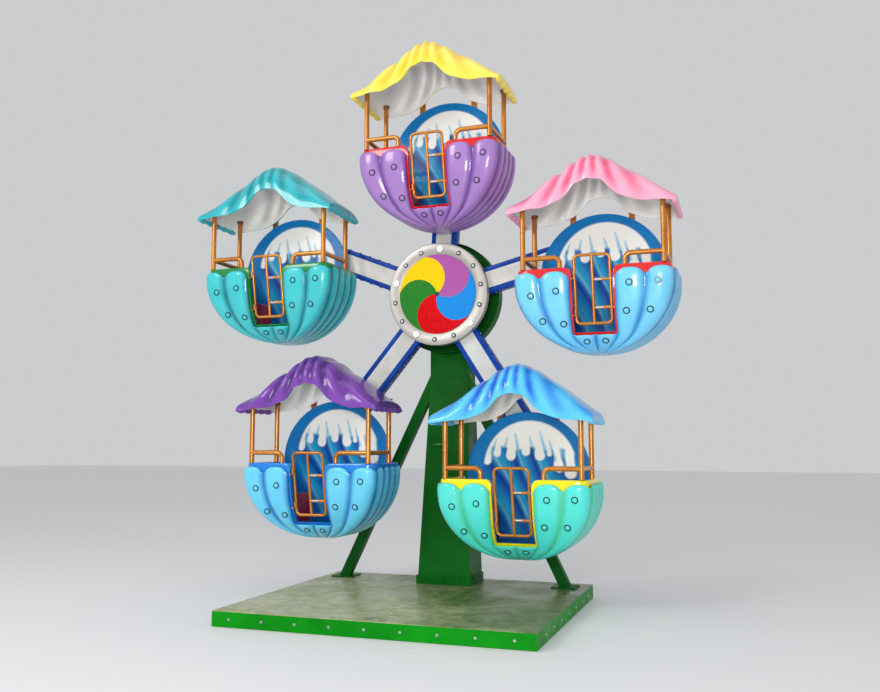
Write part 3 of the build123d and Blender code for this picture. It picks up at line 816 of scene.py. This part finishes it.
def make_liner():
    """Inner shell of the bowl with its rolled rim and the return around the doorway."""
    stations = liner_columns()
    upper = 26
    lower = 12
    last_rim = len(rim_profile) - 1
    first = asin((bowl_flank_z - rim_profile[-1][0]) / flank_drop)
    middle = asin((bowl_flank_z - sill_z) / flank_drop)

    def place(column, row):
        distance = stations[column]
        if row <= last_rim:
            z, inset = rim_profile[row]
        else:
            inset = 0.0
            n = row - last_rim
            if n <= upper:
                turn = first + (middle - first) * n / upper
            else:
                turn = middle + (pi / 2 - middle) * (n - upper) / lower
            z = bowl_flank_z - (flank_drop - liner_inset) * sin(turn)
            if n == upper:
                z = sill_z
        beside = abs(distance) - door_x
        point = bowl_point(distance, z, liner_inset + inset)
        if 0 <= beside < liner_corner:
            rounded = liner_corner - sqrt(liner_corner**2 - (liner_corner - beside) ** 2)
            share = max(0.0, min(1.0, (z + 0.42) / (rim_z + 0.42)))
            point.z -= rounded * share
            if row < lip_points:
                point.z = max(point.z, lip_end_z)
        return point

    def outside_door(column, row):
        beside = abs(stations[column] + stations[column + 1]) / 2
        return beside > door_x or row >= last_rim + upper

    piece = moulded("liner", len(stations) - 1, last_rim + upper + lower, place, outside_door)
    merge(piece)
    edit_edges(piece, beside_door)
    bpy.ops.mesh.extrude_edges_move(TRANSFORM_OT_translate={"value": (0, return_depth, 0)})
    leave()
    for point in piece.data.vertices:
        if point.select and point.co.x > door_x - 0.004:
            point.co.y -= bolt_room
    thicken(piece, liner_wall)
    back = make_bowl_back("liner_back", liner_inset, 0.352, 0.409, 0.006)
    for part in (piece, back):
        part.data.materials.append(bench_red)
        part.data.materials.append(back_blue)
    for face in back.data.polygons:
        face.material_index = 1
    piece = join("liner", [piece, back])
    smooth(piece, 40)
    return piece


def bowl_side(y, z, inset):
    """Half width inside the bowl at a depth and height."""
    depth = bowl_depth(z, inset)
    share = min(max((bowl_back_y - y) / depth, 0), 1)
    return bowl_width(z, inset) * max(1 - share**bowl_corner, 0) ** (1 / bowl_corner)


def make_benches():
    """Two moulded benches along the flanks, each with a rounded front edge."""
    inner_x = 0.200
    top_z = -0.480
    inset = 0.023
    back_y = 0.352
    front_y = bowl_back_y - bowl_depth(top_z, inset) + 0.006
    along = 40
    round_off = [0, 15, 30, 45, 60, 75, 90]
    radius = 0.014
    across = 10

    def place(column, row):
        share = column / along
        y = front_y + (back_y - front_y) * share
        wall = max(bowl_side(y, top_z, inset), inner_x + 0.003)
        if row == 0:
            ahead = max(bowl_nose_y - y, 0) / (bowl_nose_y - bowl_front_y - inset)
            drop = (bowl_nose_z - bowl_bottom_z - inset) * sqrt(max(1 - ahead**2, 0))
            return Vector((inner_x, y, max(bowl_nose_z - drop + 0.012, -0.705)))
        if row <= len(round_off):
            turn = radians(round_off[row - 1])
            x = inner_x + min(radius, (wall - inner_x) / 2) * (1 - cos(turn))
            return Vector((x, y, top_z - radius + radius * sin(turn)))
        n = row - len(round_off)
        x = inner_x + min(radius, (wall - inner_x) / 2)
        x += (wall - x) * n / across
        dish = 0.010 * sin(pi * n / across) * sin(pi * share)
        return Vector((x, y, top_z - dish))

    right = moulded("benches", along, len(round_off) + across, place)
    mirror = right.modifiers.new("pair", "MIRROR")
    mirror.use_axis = (True, False, False)
    mirror.use_mirror_merge = False
    apply_modifiers(right)
    floor_z = -0.681
    floor_front = bowl_back_y - bowl_depth(floor_z, inset) + 0.004

    def floor_place(column, row):
        y = floor_front + (back_y - floor_front) * row / 12
        return Vector((-0.196 + 0.392 * column / 16, y, floor_z))

    floor = moulded("cabin_floor", 16, 12, floor_place)
    piece = join("benches", [right, floor])
    piece.data.materials.append(bench_red)
    piece.data.materials.append(bench_teal)
    for face in piece.data.polygons:
        outward = face.normal
        face.material_index = 1 if abs(outward.z) > 0.7 else 0
    edit_faces(piece, lambda face: face.material_index == 1 and face.normal.z < 0)
    bpy.ops.mesh.flip_normals()
    leave()
    edit_faces(piece, lambda face: face.material_index == 0 and face.normal.x * face.center.x > 0)
    bpy.ops.mesh.flip_normals()
    leave()
    thicken(piece, 0.006)
    smooth(piece, 40)
    return piece


# ---------------------------------------------------------------- roof of a cabin
roof_tip_x = 0.537
roof_middle_y = 0.088
roof_reach = 0.246
roof_wall = 0.013
roof_columns = 150
roof_rows = 60


def ridge_height(x):
    """Height of the roof's crest line across the cabin."""
    soft = 0.080
    share = (sqrt(x * x + soft * soft) - soft) / (sqrt(roof_tip_x**2 + soft * soft) - soft)
    return 0.487 - 0.324 * share


def hem_height(x):
    """Height of the roof's lower edge across the cabin."""
    arch = 1 / (1 + (abs(x) / 0.150) ** 3.2)
    return 0.108 + 0.176 * arch - 0.012 * (abs(x) / roof_tip_x) ** 6


def roof_fold(x, z):
    """Phase of the folds, which fan out from above the peak."""
    fan = atan2(x, 0.80 - z)
    return 34.0 * fan + 1.3 * sin(5.0 * fan + 0.8)


def roof_place(column, row, depth, peak):
    share = 2 * column / roof_columns - 1
    turn = (2 * row / roof_rows - 1) * pi / 2
    x = roof_tip_x * sin(share * pi / 2)
    ends = sqrt(max(1 - (max(abs(share) - 0.88, 0) / 0.12) ** 2, 0))
    across = x - peak * (1 - (x / roof_tip_x) ** 2)
    hem = hem_height(across)
    rise = (ridge_height(across) - hem) * ends
    lift = max(cos(turn), 0) ** (2 / 2.6)
    reach = abs(sin(turn)) ** (2 / 2.6) * (1 if turn > 0 else -1)
    z = hem + rise * lift
    y = roof_middle_y + roof_reach * reach * (0.965 + 0.035 * ends)
    wave = cos(roof_fold(across, z))
    bold = 1.35 if x < 0 else 0.75
    height = depth * bold * wave * min(1.0, rise / 0.12) * (0.25 + 0.75 * min(1.0, lift * 1.6))
    out = Vector((0.35 * x / roof_tip_x, reach * 1.1, 0.25 + lift))
    out.normalize()
    point = Vector((x, y, z)) + out * height
    point.z += 0.35 * depth * (1 - lift) * wave
    return point


def make_roof(name, depth, peak, finish):
    """Draped canopy moulded in one sheet, with folds that fan from its peak."""
    piece = moulded(name, roof_columns, roof_rows,
                    lambda column, row: roof_place(column, row, depth, peak))
    merge(piece, outward=False)
    middle = min(piece.data.polygons, key=lambda face: (face.center - Vector((0, 0.07, 0.5))).length)
    if middle.normal.z < 0:
        edit_faces(piece, lambda face: True)
        bpy.ops.mesh.flip_normals()
        leave()
    # Painted shade and highlight on the canopy: this attribute is high in the hollows of the folds and low
    # on their ridges, and it drives the roof's deeper fold colour and the lining's grey folds.
    guide = piece.data.attributes.new("fold_shade", "FLOAT", "POINT")
    for index, point in enumerate(piece.data.vertices):
        x, _, z = point.co
        across = x - peak * (1 - min(abs(x) / roof_tip_x, 1) ** 2)
        wave = 0.5 - 0.5 * cos(roof_fold(across, z))
        side = 0.72 + 0.28 * sin(7 * x + 2.0)
        low = min(max((z - hem_height(across)) / 0.07, 0), 1)
        guide.data[index].value = min(1.0, 1.15 * wave**1.2 * (0.15 + 0.85 * low) * side)
    piece.data.materials.append(finish)
    piece.data.materials.append(lining_with_painted_light)
    thicken(piece, roof_wall, inner=1)
    beads = make_end_beads(finish)
    piece = join(name, [piece, beads])
    smooth(piece, 60)
    return piece


def make_end_beads(finish):
    """Row of rounded beads along each end of the roof."""
    bead_x = roof_tip_x - 0.014
    bead_z = hem_height(roof_tip_x) + 0.005
    bead_pitch = 0.094
    pieces = []
    for side in (-1, 1):
        for n in range(5):
            deselect()
            bpy.ops.mesh.primitive_uv_sphere_add(
                segments=20, ring_count=12, radius=1,
                location=(side * bead_x, roof_middle_y + bead_pitch * (n - 2), bead_z)
            )
            bead = take("bead")
            bead.scale = (0.021, 0.051, 0.019)
            settle(bead)
            pieces.append(bead)
    beads = join("end_beads", pieces)
    beads.data.materials.append(finish)
    return beads


# ---------------------------------------------------------------- painted back panel
panel_radius = 0.433
panel_middle_z = -0.250
panel_front_y = 0.370
foam_fingers = [
    (-0.665, 0.230, 0.066, 0.16), (-0.500, 0.345, 0.058, 0.12), (-0.275, 0.310, 0.078, 0.08),
    (-0.030, 0.375, 0.068, 0.02), (0.195, 0.315, 0.082, -0.06), (0.350, 0.345, 0.046, -0.10),
    (0.500, 0.130, 0.080, -0.16), (0.680, 0.050, 0.096, -0.06),
]
foam_strokes = [
    (-0.590, 0.360, -0.510, 0.560, 0.040), (-0.395, 0.350, -0.330, 0.600, 0.048),
    (-0.150, 0.370, -0.200, 0.660, 0.052), (0.085, 0.400, 0.030, 0.610, 0.046),
    (0.285, 0.370, 0.200, 0.690, 0.050), (0.425, 0.250, 0.350, 0.540, 0.054),
    (0.600, 0.110, 0.560, 0.430, 0.050),
]


def blend_tints(first, second, share):
    share = min(max(share, 0), 1)
    return tuple(a + (b - a) * share for a, b in zip(first, second))


def soft_step(low, high, value):
    share = min(max((value - low) / (high - low), 0.0), 1.0)
    return share * share * (3 - 2 * share)


def sea_colour(x, z):
    """Colour of the painted wave at a place on the disc, from -1 to 1 both ways."""
    ring = tint(2, 120, 190)
    foam = tint(254, 253, 247)
    shade = tint(96, 190, 232)
    sweep = 16.0 * x + 5.5 * z + 2.0 * sin(2.6 * z + 0.6) + 1.2 * sin(5.0 * x)
    streak = 0.5 + 0.5 * sin(sweep)
    sea = blend_tints(tint(6, 92, 180), tint(24, 160, 208), 0.10 + 0.9 * streak**1.5)
    sea = blend_tints(sea, tint(4, 46, 140), 0.85 * max(0.0, sin(sweep + 2.6)) ** 4)
    sea = blend_tints(sea, tint(150, 208, 236), 0.6 * max(0.0, sin(sweep + 0.9)) ** 16)
    cover = soft_step(-0.03, 0.03, z - 0.42 + 0.16 * x * x * x - 0.025 * sin(13 * x + 1))
    for centre, tip, width, lean in foam_fingers:
        rise = max(z - tip, 0)
        near = hypot(x - centre - lean * rise, min(z - tip, 0))
        neck = width * (1 - 0.28 * soft_step(0.02, 0.16, rise))
        if z < 0.50:
            cover = max(cover, 1 - soft_step(neck - 0.012, neck + 0.010, near))
    edge = 0.0
    for foot_x, foot_z, head_x, head_z, width in foam_strokes:
        run_x = head_x - foot_x
        run_z = head_z - foot_z
        share = ((x - foot_x) * run_x + (z - foot_z) * run_z) / (run_x**2 + run_z**2)
        share = min(max(share, 0.0), 1.0)
        near = hypot(x - foot_x - run_x * share, z - foot_z - run_z * share)
        edge = max(edge, 0.75 * (1 - soft_step(0.2, 1.0, near / (width * (1 - 0.7 * share)))))
    white = blend_tints(foam, shade, edge)
    colour = blend_tints(sea, white, cover)
    inner = hypot(x - 0.03, z - 0.11) - 0.75
    border = soft_step(-0.012, 0.012, inner) * (0.30 + 0.70 * soft_step(-0.6, -0.2, z))
    return blend_tints(colour, ring, border)


def make_panel():
    """Round moulded panel with a rolled edge and its painting."""
    rings = [n / 62 * 0.425 for n in range(63)]
    profile = [(radius, panel_front_y) for radius in rings]
    profile += [(0.4285, 0.3706), (0.4315, 0.3722), (panel_radius, 0.375), (panel_radius, 0.380),
                (0.4315, 0.3828), (0.4285, 0.3845), (0.42, 0.385), (0.21, 0.385), (0.0, 0.385)]
    around = 264

    def place(column, row):
        turn = 2 * pi * column / around
        radius, y = profile[row]
        return Vector((radius * cos(turn), y, panel_middle_z + radius * sin(turn)))

    piece = moulded("back_panel", around, len(profile) - 1, place)
    merge(piece)
    paint = piece.data.color_attributes.new("painting", "FLOAT_COLOR", "POINT")
    for index, point in enumerate(piece.data.vertices):
        paint.data[index].color = sea_colour(
            point.co.x / panel_radius, (point.co.z - panel_middle_z) / panel_radius
        )
    piece.data.materials.append(wave_finish)
    piece.data.materials.append(back_blue)
    for face in piece.data.polygons:
        face.material_index = 1 if face.center.y > 0.381 else 0
    smooth(piece, 40)
    return piece


# ---------------------------------------------------------------- lamps
petal_lamps = [
    (-0.390, -0.437), (-0.225, -0.415), (-0.325, -0.598), (-0.190, -0.620), (0.235, -0.384),
    (0.410, -0.380), (0.210, -0.555), (0.355, -0.553), (-0.058, -0.728), (0.062, -0.726),
]


def make_lamp(name, radius, height, glass, opening=0.56, sides=20):
    """Round lamp facing up: a dark bezel ring and a cap."""
    ring = (1 - opening) / 2
    deselect()
    bpy.ops.mesh.primitive_torus_add(
        major_radius=radius * (opening + ring), minor_radius=radius * ring, major_segments=sides,
        minor_segments=6
    )
    bezel = take(name + "_bezel")
    bezel.scale = (1, 1, height * 0.8 / (radius * ring))
    settle(bezel)
    bezel.data.materials.append(dark_ring)
    deselect()
    cap_radius = radius * (opening + ring * 0.6)
    bpy.ops.mesh.primitive_uv_sphere_add(segments=sides, ring_count=10, radius=cap_radius)
    cap = take(name + "_cap")
    edit_faces(cap, lambda face: face.center.z < -0.0001)
    bpy.ops.mesh.delete(type="FACE")
    leave()
    cap.scale = (1, 1, height / cap_radius)
    settle(cap)
    cap.data.materials.append(glass)
    piece = join(name, [bezel, cap])
    smooth(piece, 50)
    return piece


def facing(normal, place):
    """Matrix that stands an upward piece on a place, facing a direction."""
    turn = Vector((0, 0, 1)).rotation_difference(normal).to_matrix().to_4x4()
    return Matrix.Translation(place) @ turn


def scatter(name, piece, places):
    """Copies of a piece at many places, joined as one."""
    copies = [copy_to(piece, f"{name}_{n}", place) for n, place in enumerate(places)]
    return join(name, copies)


def drop(piece):
    bpy.data.objects.remove(piece)


back_posts = [(-0.450, 0.286), (0.450, 0.286)]


def make_post_sockets(name, canopy, pivot):
    """Flared sockets where the two back posts meet the roof."""
    pieces = []
    for x, y in back_posts:
        start = Vector((pivot.x + x, y - 0.022, pivot.z - 0.1))
        under = canopy.ray_cast(start, Vector((0, 0, 1)))[1]
        deselect()
        bpy.ops.mesh.primitive_cone_add(vertices=24, radius1=0.0175, radius2=0.028, depth=0.026,
                                        location=(start.x, y, under.z - 0.014))
        socket = take("socket")
        settle(socket)
        socket.data.materials.append(socket_brown)
        pieces.append(socket)
    piece = join(name, pieces)
    smooth(piece, 40)
    return piece


rung_heights = (-0.345, -0.520)
gate_top_y = -0.088
gate_top_z = -0.190
gate_lean = 0.080 / 0.428


def make_rung_sleeves():
    """Bright sleeves on the inner half of the gate's two rungs."""
    pieces = []
    for z in rung_heights:
        y = gate_top_y + gate_lean * (gate_top_z - z)
        for n in range(6):
            sleeve = drum("sleeve", 0.0114, 0.0064, (0.020 + 0.0074 * n, y, z), 16, (0, pi / 2, 0))
            round_edges(sleeve, 0.0012, 2, 60)
            pieces.append(sleeve)
    piece = join("rung_sleeves", pieces)
    piece.data.materials.append(zinc)
    smooth(piece, 40)
    return piece


# ---------------------------------------------------------------- cabins
petals = make_petals()
bowl_back = make_bowl_back("bowl_back", 0.0, bowl_back_y, 0.411, 0.010)
liner = make_liner()
benches = make_benches()
panel = make_panel()
rung_sleeves = make_rung_sleeves()

lamp_places = []
for x, z in petal_lamps:
    _, place, normal, _ = petals.ray_cast(Vector((x, -1, z)), Vector((0, 1, 0)))
    lamp_places.append(facing(normal, place - normal * 0.001))
petal_lamp = make_lamp("petal_lamp", 0.0232, 0.007, cap_glass, 0.62)
petal_lamp_set = scatter("petal_lamp_set", petal_lamp, lamp_places)
drop(petal_lamp)

for letter, pivot in pivots.items():
    place = Matrix.Translation(pivot)
    colours = cabin_colours[letter]
    body = f"cabin_{letter}"
    bowl_finish = gel_coat(f"bowl_{letter}", *[tint(*shade) for shade in colours["bowl"]])
    liner_tint = tint(*colours["liner"])
    liner_dark = tuple(value * 0.9 for value in liner_tint[:3]) + (1.0,)
    liner_finish = enamel(f"liner_{letter}", liner_tint, liner_dark, 0.22, 0.8, 5.0, 0.0004)
    # The roof's pale colour on the fold ridges is painted highlight, and its deeper colour in the hollows is
    # painted shade.
    roof_finish = gel_coat(f"roof_{letter}", *[tint(*shade) for shade in colours["roof"]], guide="fold_shade")

    skin = copy_to(petals, f"{body}_petals", place)
    skin.data.materials.append(bowl_finish)
    back = copy_to(bowl_back, f"{body}_bowl_back", place)
    back.data.materials.append(bowl_finish)
    inner = copy_to(liner, f"{body}_inner_shell", place)
    inner.data.materials[0] = liner_finish
    seats = copy_to(benches, f"{body}_benches", place)
    if letter == "d":
        seats.data.materials[0] = bench_navy
    canopy = make_roof(f"{body}_canopy", colours["folds"], colours["peak"], roof_finish)
    canopy.data.transform(place)
    sockets = make_post_sockets(f"{body}_post_sockets", canopy, pivot)
    disc = copy_to(panel, f"{body}_sea_panel", place)
    lamps = copy_to(petal_lamp_set, f"{body}_petal_lamps", place)
    lamps.data.materials[1] = bowl_finish
    for piece in (skin, back, inner, seats, canopy, sockets, disc, lamps):
        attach(piece, body)
    sleeves = copy_to(rung_sleeves, f"gate_{letter}_rung_sleeves", place)
    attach(sleeves, f"gate_{letter}")
    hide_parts(f"{body}_basket")
    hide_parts(f"{body}_liner")
    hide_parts(f"{body}_seats")
    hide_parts(f"{body}_roof")
    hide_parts(f"{body}_back_panel")
    nodes[f"{body}_frame"].data.materials[0] = bronze
    nodes[f"{body}_gate"].data.materials[0] = bronze
    nodes[f"{body}_latch_bolts"].data.materials[0] = zinc
for piece in (petals, bowl_back, liner, benches, panel, petal_lamp_set, rung_sleeves):
    drop(piece)


# ---------------------------------------------------------------- hub
def make_cover():
    """Spun pan with a rolled rim around the pinwheel."""
    piece = drum("hub_pan", cover_radius, cover_back - cover_front,
                 (hub.x, (cover_front + cover_back) / 2, hub.z), 128)
    edit_faces(piece, lambda face: face.normal.y < -0.9)
    bpy.ops.mesh.inset(thickness=cover_radius - pinwheel_radius - 0.012, depth=0)
    bpy.ops.mesh.inset(thickness=0.004, depth=-0.002)
    leave()
    round_edges(piece, 0.005, 4, 60)
    piece.data.materials.append(brushed_cover)
    smooth(piece, 40)
    return piece


def make_pinwheel():
    """Painted disc in the middle of the cover."""
    piece = drum("pinwheel", pinwheel_radius, 0.004, (hub.x, cover_front - 0.001, hub.z), 128)
    round_edges(piece, 0.0012, 2, 60)
    piece.data.materials.append(pinwheel_finish)
    smooth(piece, 40)
    return piece


cover = make_cover()
pinwheel = make_pinwheel()
deselect()
bpy.ops.mesh.primitive_uv_sphere_add(segments=24, ring_count=12, radius=0.016,
                                     location=(hub.x, cover_front - 0.002, hub.z))
centre_bolt = take("centre_bolt")
centre_bolt.scale = (1, 0.55, 1)
settle(centre_bolt)
centre_bolt.data.materials.append(dark_ring)
smooth(centre_bolt, 60)
hub_lamp = make_lamp("hub_lamp", 0.0180, 0.008, cap_glass, 0.40)
lit_lamp = make_lamp("lit_lamp", 0.0240, 0.009, cap_lit, 0.86)
rest_turn = -3.7
lamp_circle = 0.330
lamp_count = 14
lit_ones = (0, 3, 6, 9)
plain_places = []
lit_places = []
for n in range(lamp_count):
    turn = radians(90 + rest_turn + 360 / lamp_count * n)
    lamp_x = hub.x + lamp_circle * cos(turn)
    lamp_z = hub.z + lamp_circle * sin(turn)
    spot = Vector((lamp_x, cover_front - 0.0005, lamp_z))
    group = lit_places if n in lit_ones else plain_places
    group.append(facing(Vector((0, -1, 0)), spot))
hub_lamp_set = scatter("hub_lamp_caps", hub_lamp, plain_places)
hub_lit_set = scatter("hub_lit_caps", lit_lamp, lit_places)
drop(hub_lamp)
drop(lit_lamp)
for piece, slot in ((cover, "cover_metal"), (pinwheel, "cover_metal"), (centre_bolt, "cover_metal"),
                    (hub_lamp_set, "lamp"), (hub_lit_set, "lamp")):
    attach(piece, "wheel")
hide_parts("hub_cover")
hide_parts("hub_lamps")

# ---------------------------------------------------------------- spokes
spoke_front = 0.435
spoke_back = 0.530
spoke_half = 0.0925
spoke_start = 0.140
spoke_end = 1.285
white_half = 0.062


def make_spoke():
    """Box beam with a white face between blue edges, built upright over the hub."""
    piece = block("spoke", (-spoke_half, spoke_front, spoke_start), (spoke_half, spoke_back, spoke_end))
    piece.data.materials.append(blue_enamel)
    piece.data.materials.append(white_enamel)
    edit_faces(piece, lambda face: abs(face.normal.y) > 0.9)
    bpy.ops.mesh.inset(thickness=spoke_half - white_half, depth=0, use_boundary=True)
    bpy.ops.mesh.inset(thickness=0.004, depth=-0.003)
    leave()
    for face in piece.data.polygons:
        if abs(face.normal.y) > 0.9 and abs(face.center.x) < 0.01:
            face.material_index = 1
    round_edges(piece, 0.004, 3, 50)
    smooth(piece, 40)
    return piece


spoke = make_spoke()
spoke_lamp = make_lamp("spoke_lamp", 0.0105, 0.008, cap_glass, 0.6, 10)
lamp_y = spoke_front + 0.038
first_lamp_z = 0.400
lamp_pitch = 0.085
side_places = []
for n in range(10):
    for side in (-1, 1):
        spot = Vector((side * spoke_half, lamp_y, first_lamp_z + lamp_pitch * n))
        side_places.append(facing(Vector((side, 0, 0)), spot))
spoke_lamp_set = scatter("spoke_lamp_set", spoke_lamp, side_places)
drop(spoke_lamp)
spokes = []
spoke_lamps = []
for n in range(5):
    turn = Matrix.Rotation(radians(-rest_turn - 72 * n), 4, "Y")
    place = Matrix.Translation(hub) @ turn
    spokes.append(copy_to(spoke, f"spoke_{n + 1}", place))
    spoke_lamps.append(copy_to(spoke_lamp_set, f"spoke_lamps_{n + 1}", place))
for piece in spokes:
    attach(piece, "wheel")
for piece in spoke_lamps:
    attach(piece, "wheel")
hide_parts("spokes")
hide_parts("spoke_lamps")
drop(spoke)
drop(spoke_lamp_set)

# ---------------------------------------------------------------- frame nodes that keep their shape
for name, finish in {
    "base_frame": green, "deck_plate": deck_finish, "skirt_panels": skirt_green, "skirt_screws": zinc,
    "tower_column": tower_green, "tower_collar": green, "rear_struts": green, "drum_housing": green,
    "hub_flanges": machined, "main_shaft": machined, "main_bearings": machined, "drive_gear": machined,
    "drive_pinion": machined, "motor_shaft": machined, "gear_motor": motor_grey, "pivot_shafts": machined,
}.items():
    nodes[name].data.materials[0] = finish


def make_tread():
    """Raised lozenges of tread plate along the skirt's front face."""
    skirt_low, skirt_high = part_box("skirt_panels")
    pitch = 0.030
    pieces = []
    for n, lean in enumerate((45, -45)):
        deselect()
        bpy.ops.mesh.primitive_cylinder_add(
            vertices=4, radius=1, depth=1, location=(n * pitch / 2, 0, 0),
            rotation=(pi / 2, radians(lean), 0)
        )
        lozenge = take("lozenge")
        lozenge.scale = (0.0112, 0.0042, 0.0022)
        settle(lozenge)
        pieces.append(lozenge)
    pair = join("tread_pair", pieces)
    for count, step in ((int((skirt_high.x - skirt_low.x - 0.02) / pitch), (pitch, 0, 0)),
                        (4, (pitch / 2, 0, 0.0215))):
        row = pair.modifiers.new("row", "ARRAY")
        row.use_relative_offset = False
        row.use_constant_offset = True
        row.constant_offset_displace = step
        row.count = count
    apply_modifiers(pair)
    edit_faces(pair, lambda face: face.center.x > skirt_high.x - skirt_low.x - 0.034)
    bpy.ops.mesh.delete(type="FACE")
    leave()
    pair.data.transform(Matrix.Translation((skirt_low.x + 0.016, skirt_low.y - 0.0003, skirt_low.z + 0.016)))
    pair.data.materials.append(skirt_green)
    return pair


tread = make_tread()
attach(tread, "stand")

# ---------------------------------------------------------------- studio
deselect()
bpy.ops.mesh.primitive_plane_add(size=60, location=(0, 0, -0.0005))
floor = take("studio_floor")
floor_material, floor_shader = new_finish("studio_floor", 0.6)
floor_shader.inputs["Base Color"].default_value = (0.82, 0.82, 0.82, 1)
floor.data.materials.append(floor_material)

world = bpy.context.scene.world or bpy.data.worlds.new("studio")
bpy.context.scene.world = world
world.use_nodes = True
sky = world.node_tree.nodes["Background"]
sky.inputs["Color"].default_value = (0.97, 0.98, 1.0, 1)
sky.inputs["Strength"].default_value = 0.62


def soft_light(name, place, aim, size, power):
    data = bpy.data.lights.new(name, "AREA")
    data.shape = "RECTANGLE"
    data.size = size[0]
    data.size_y = size[1]
    data.energy = power
    lamp = bpy.data.objects.new(name, data)
    bpy.context.scene.collection.objects.link(lamp)
    lamp.location = place
    direction = Vector(aim) - Vector(place)
    lamp.rotation_euler = direction.to_track_quat("-Z", "Y").to_euler()


soft_light("key", (-3.6, -6.4, 5.0), (0, 0, 1.9), (2.2, 2.2), 175)
soft_light("front", (2.0, -7.3, 1.7), (0, 0, 2.3), (1.6, 1.6), 215)
soft_light("top", (-0.5, -1.5, 7.5), (0, 0, 1.5), (4.0, 4.0), 50)

camera_data = bpy.data.cameras.new("camera")
camera = bpy.data.objects.new("camera", camera_data)
bpy.context.scene.collection.objects.link(camera)
camera.location = (2.135, -5.677, 1.103)
camera.rotation_euler = (radians(90 + 6.09), 0, radians(19.26))
camera_data.lens = 36.84
camera_data.sensor_width = 36
bpy.context.scene.camera = camera
bpy.context.scene.view_settings.view_transform = "Standard"
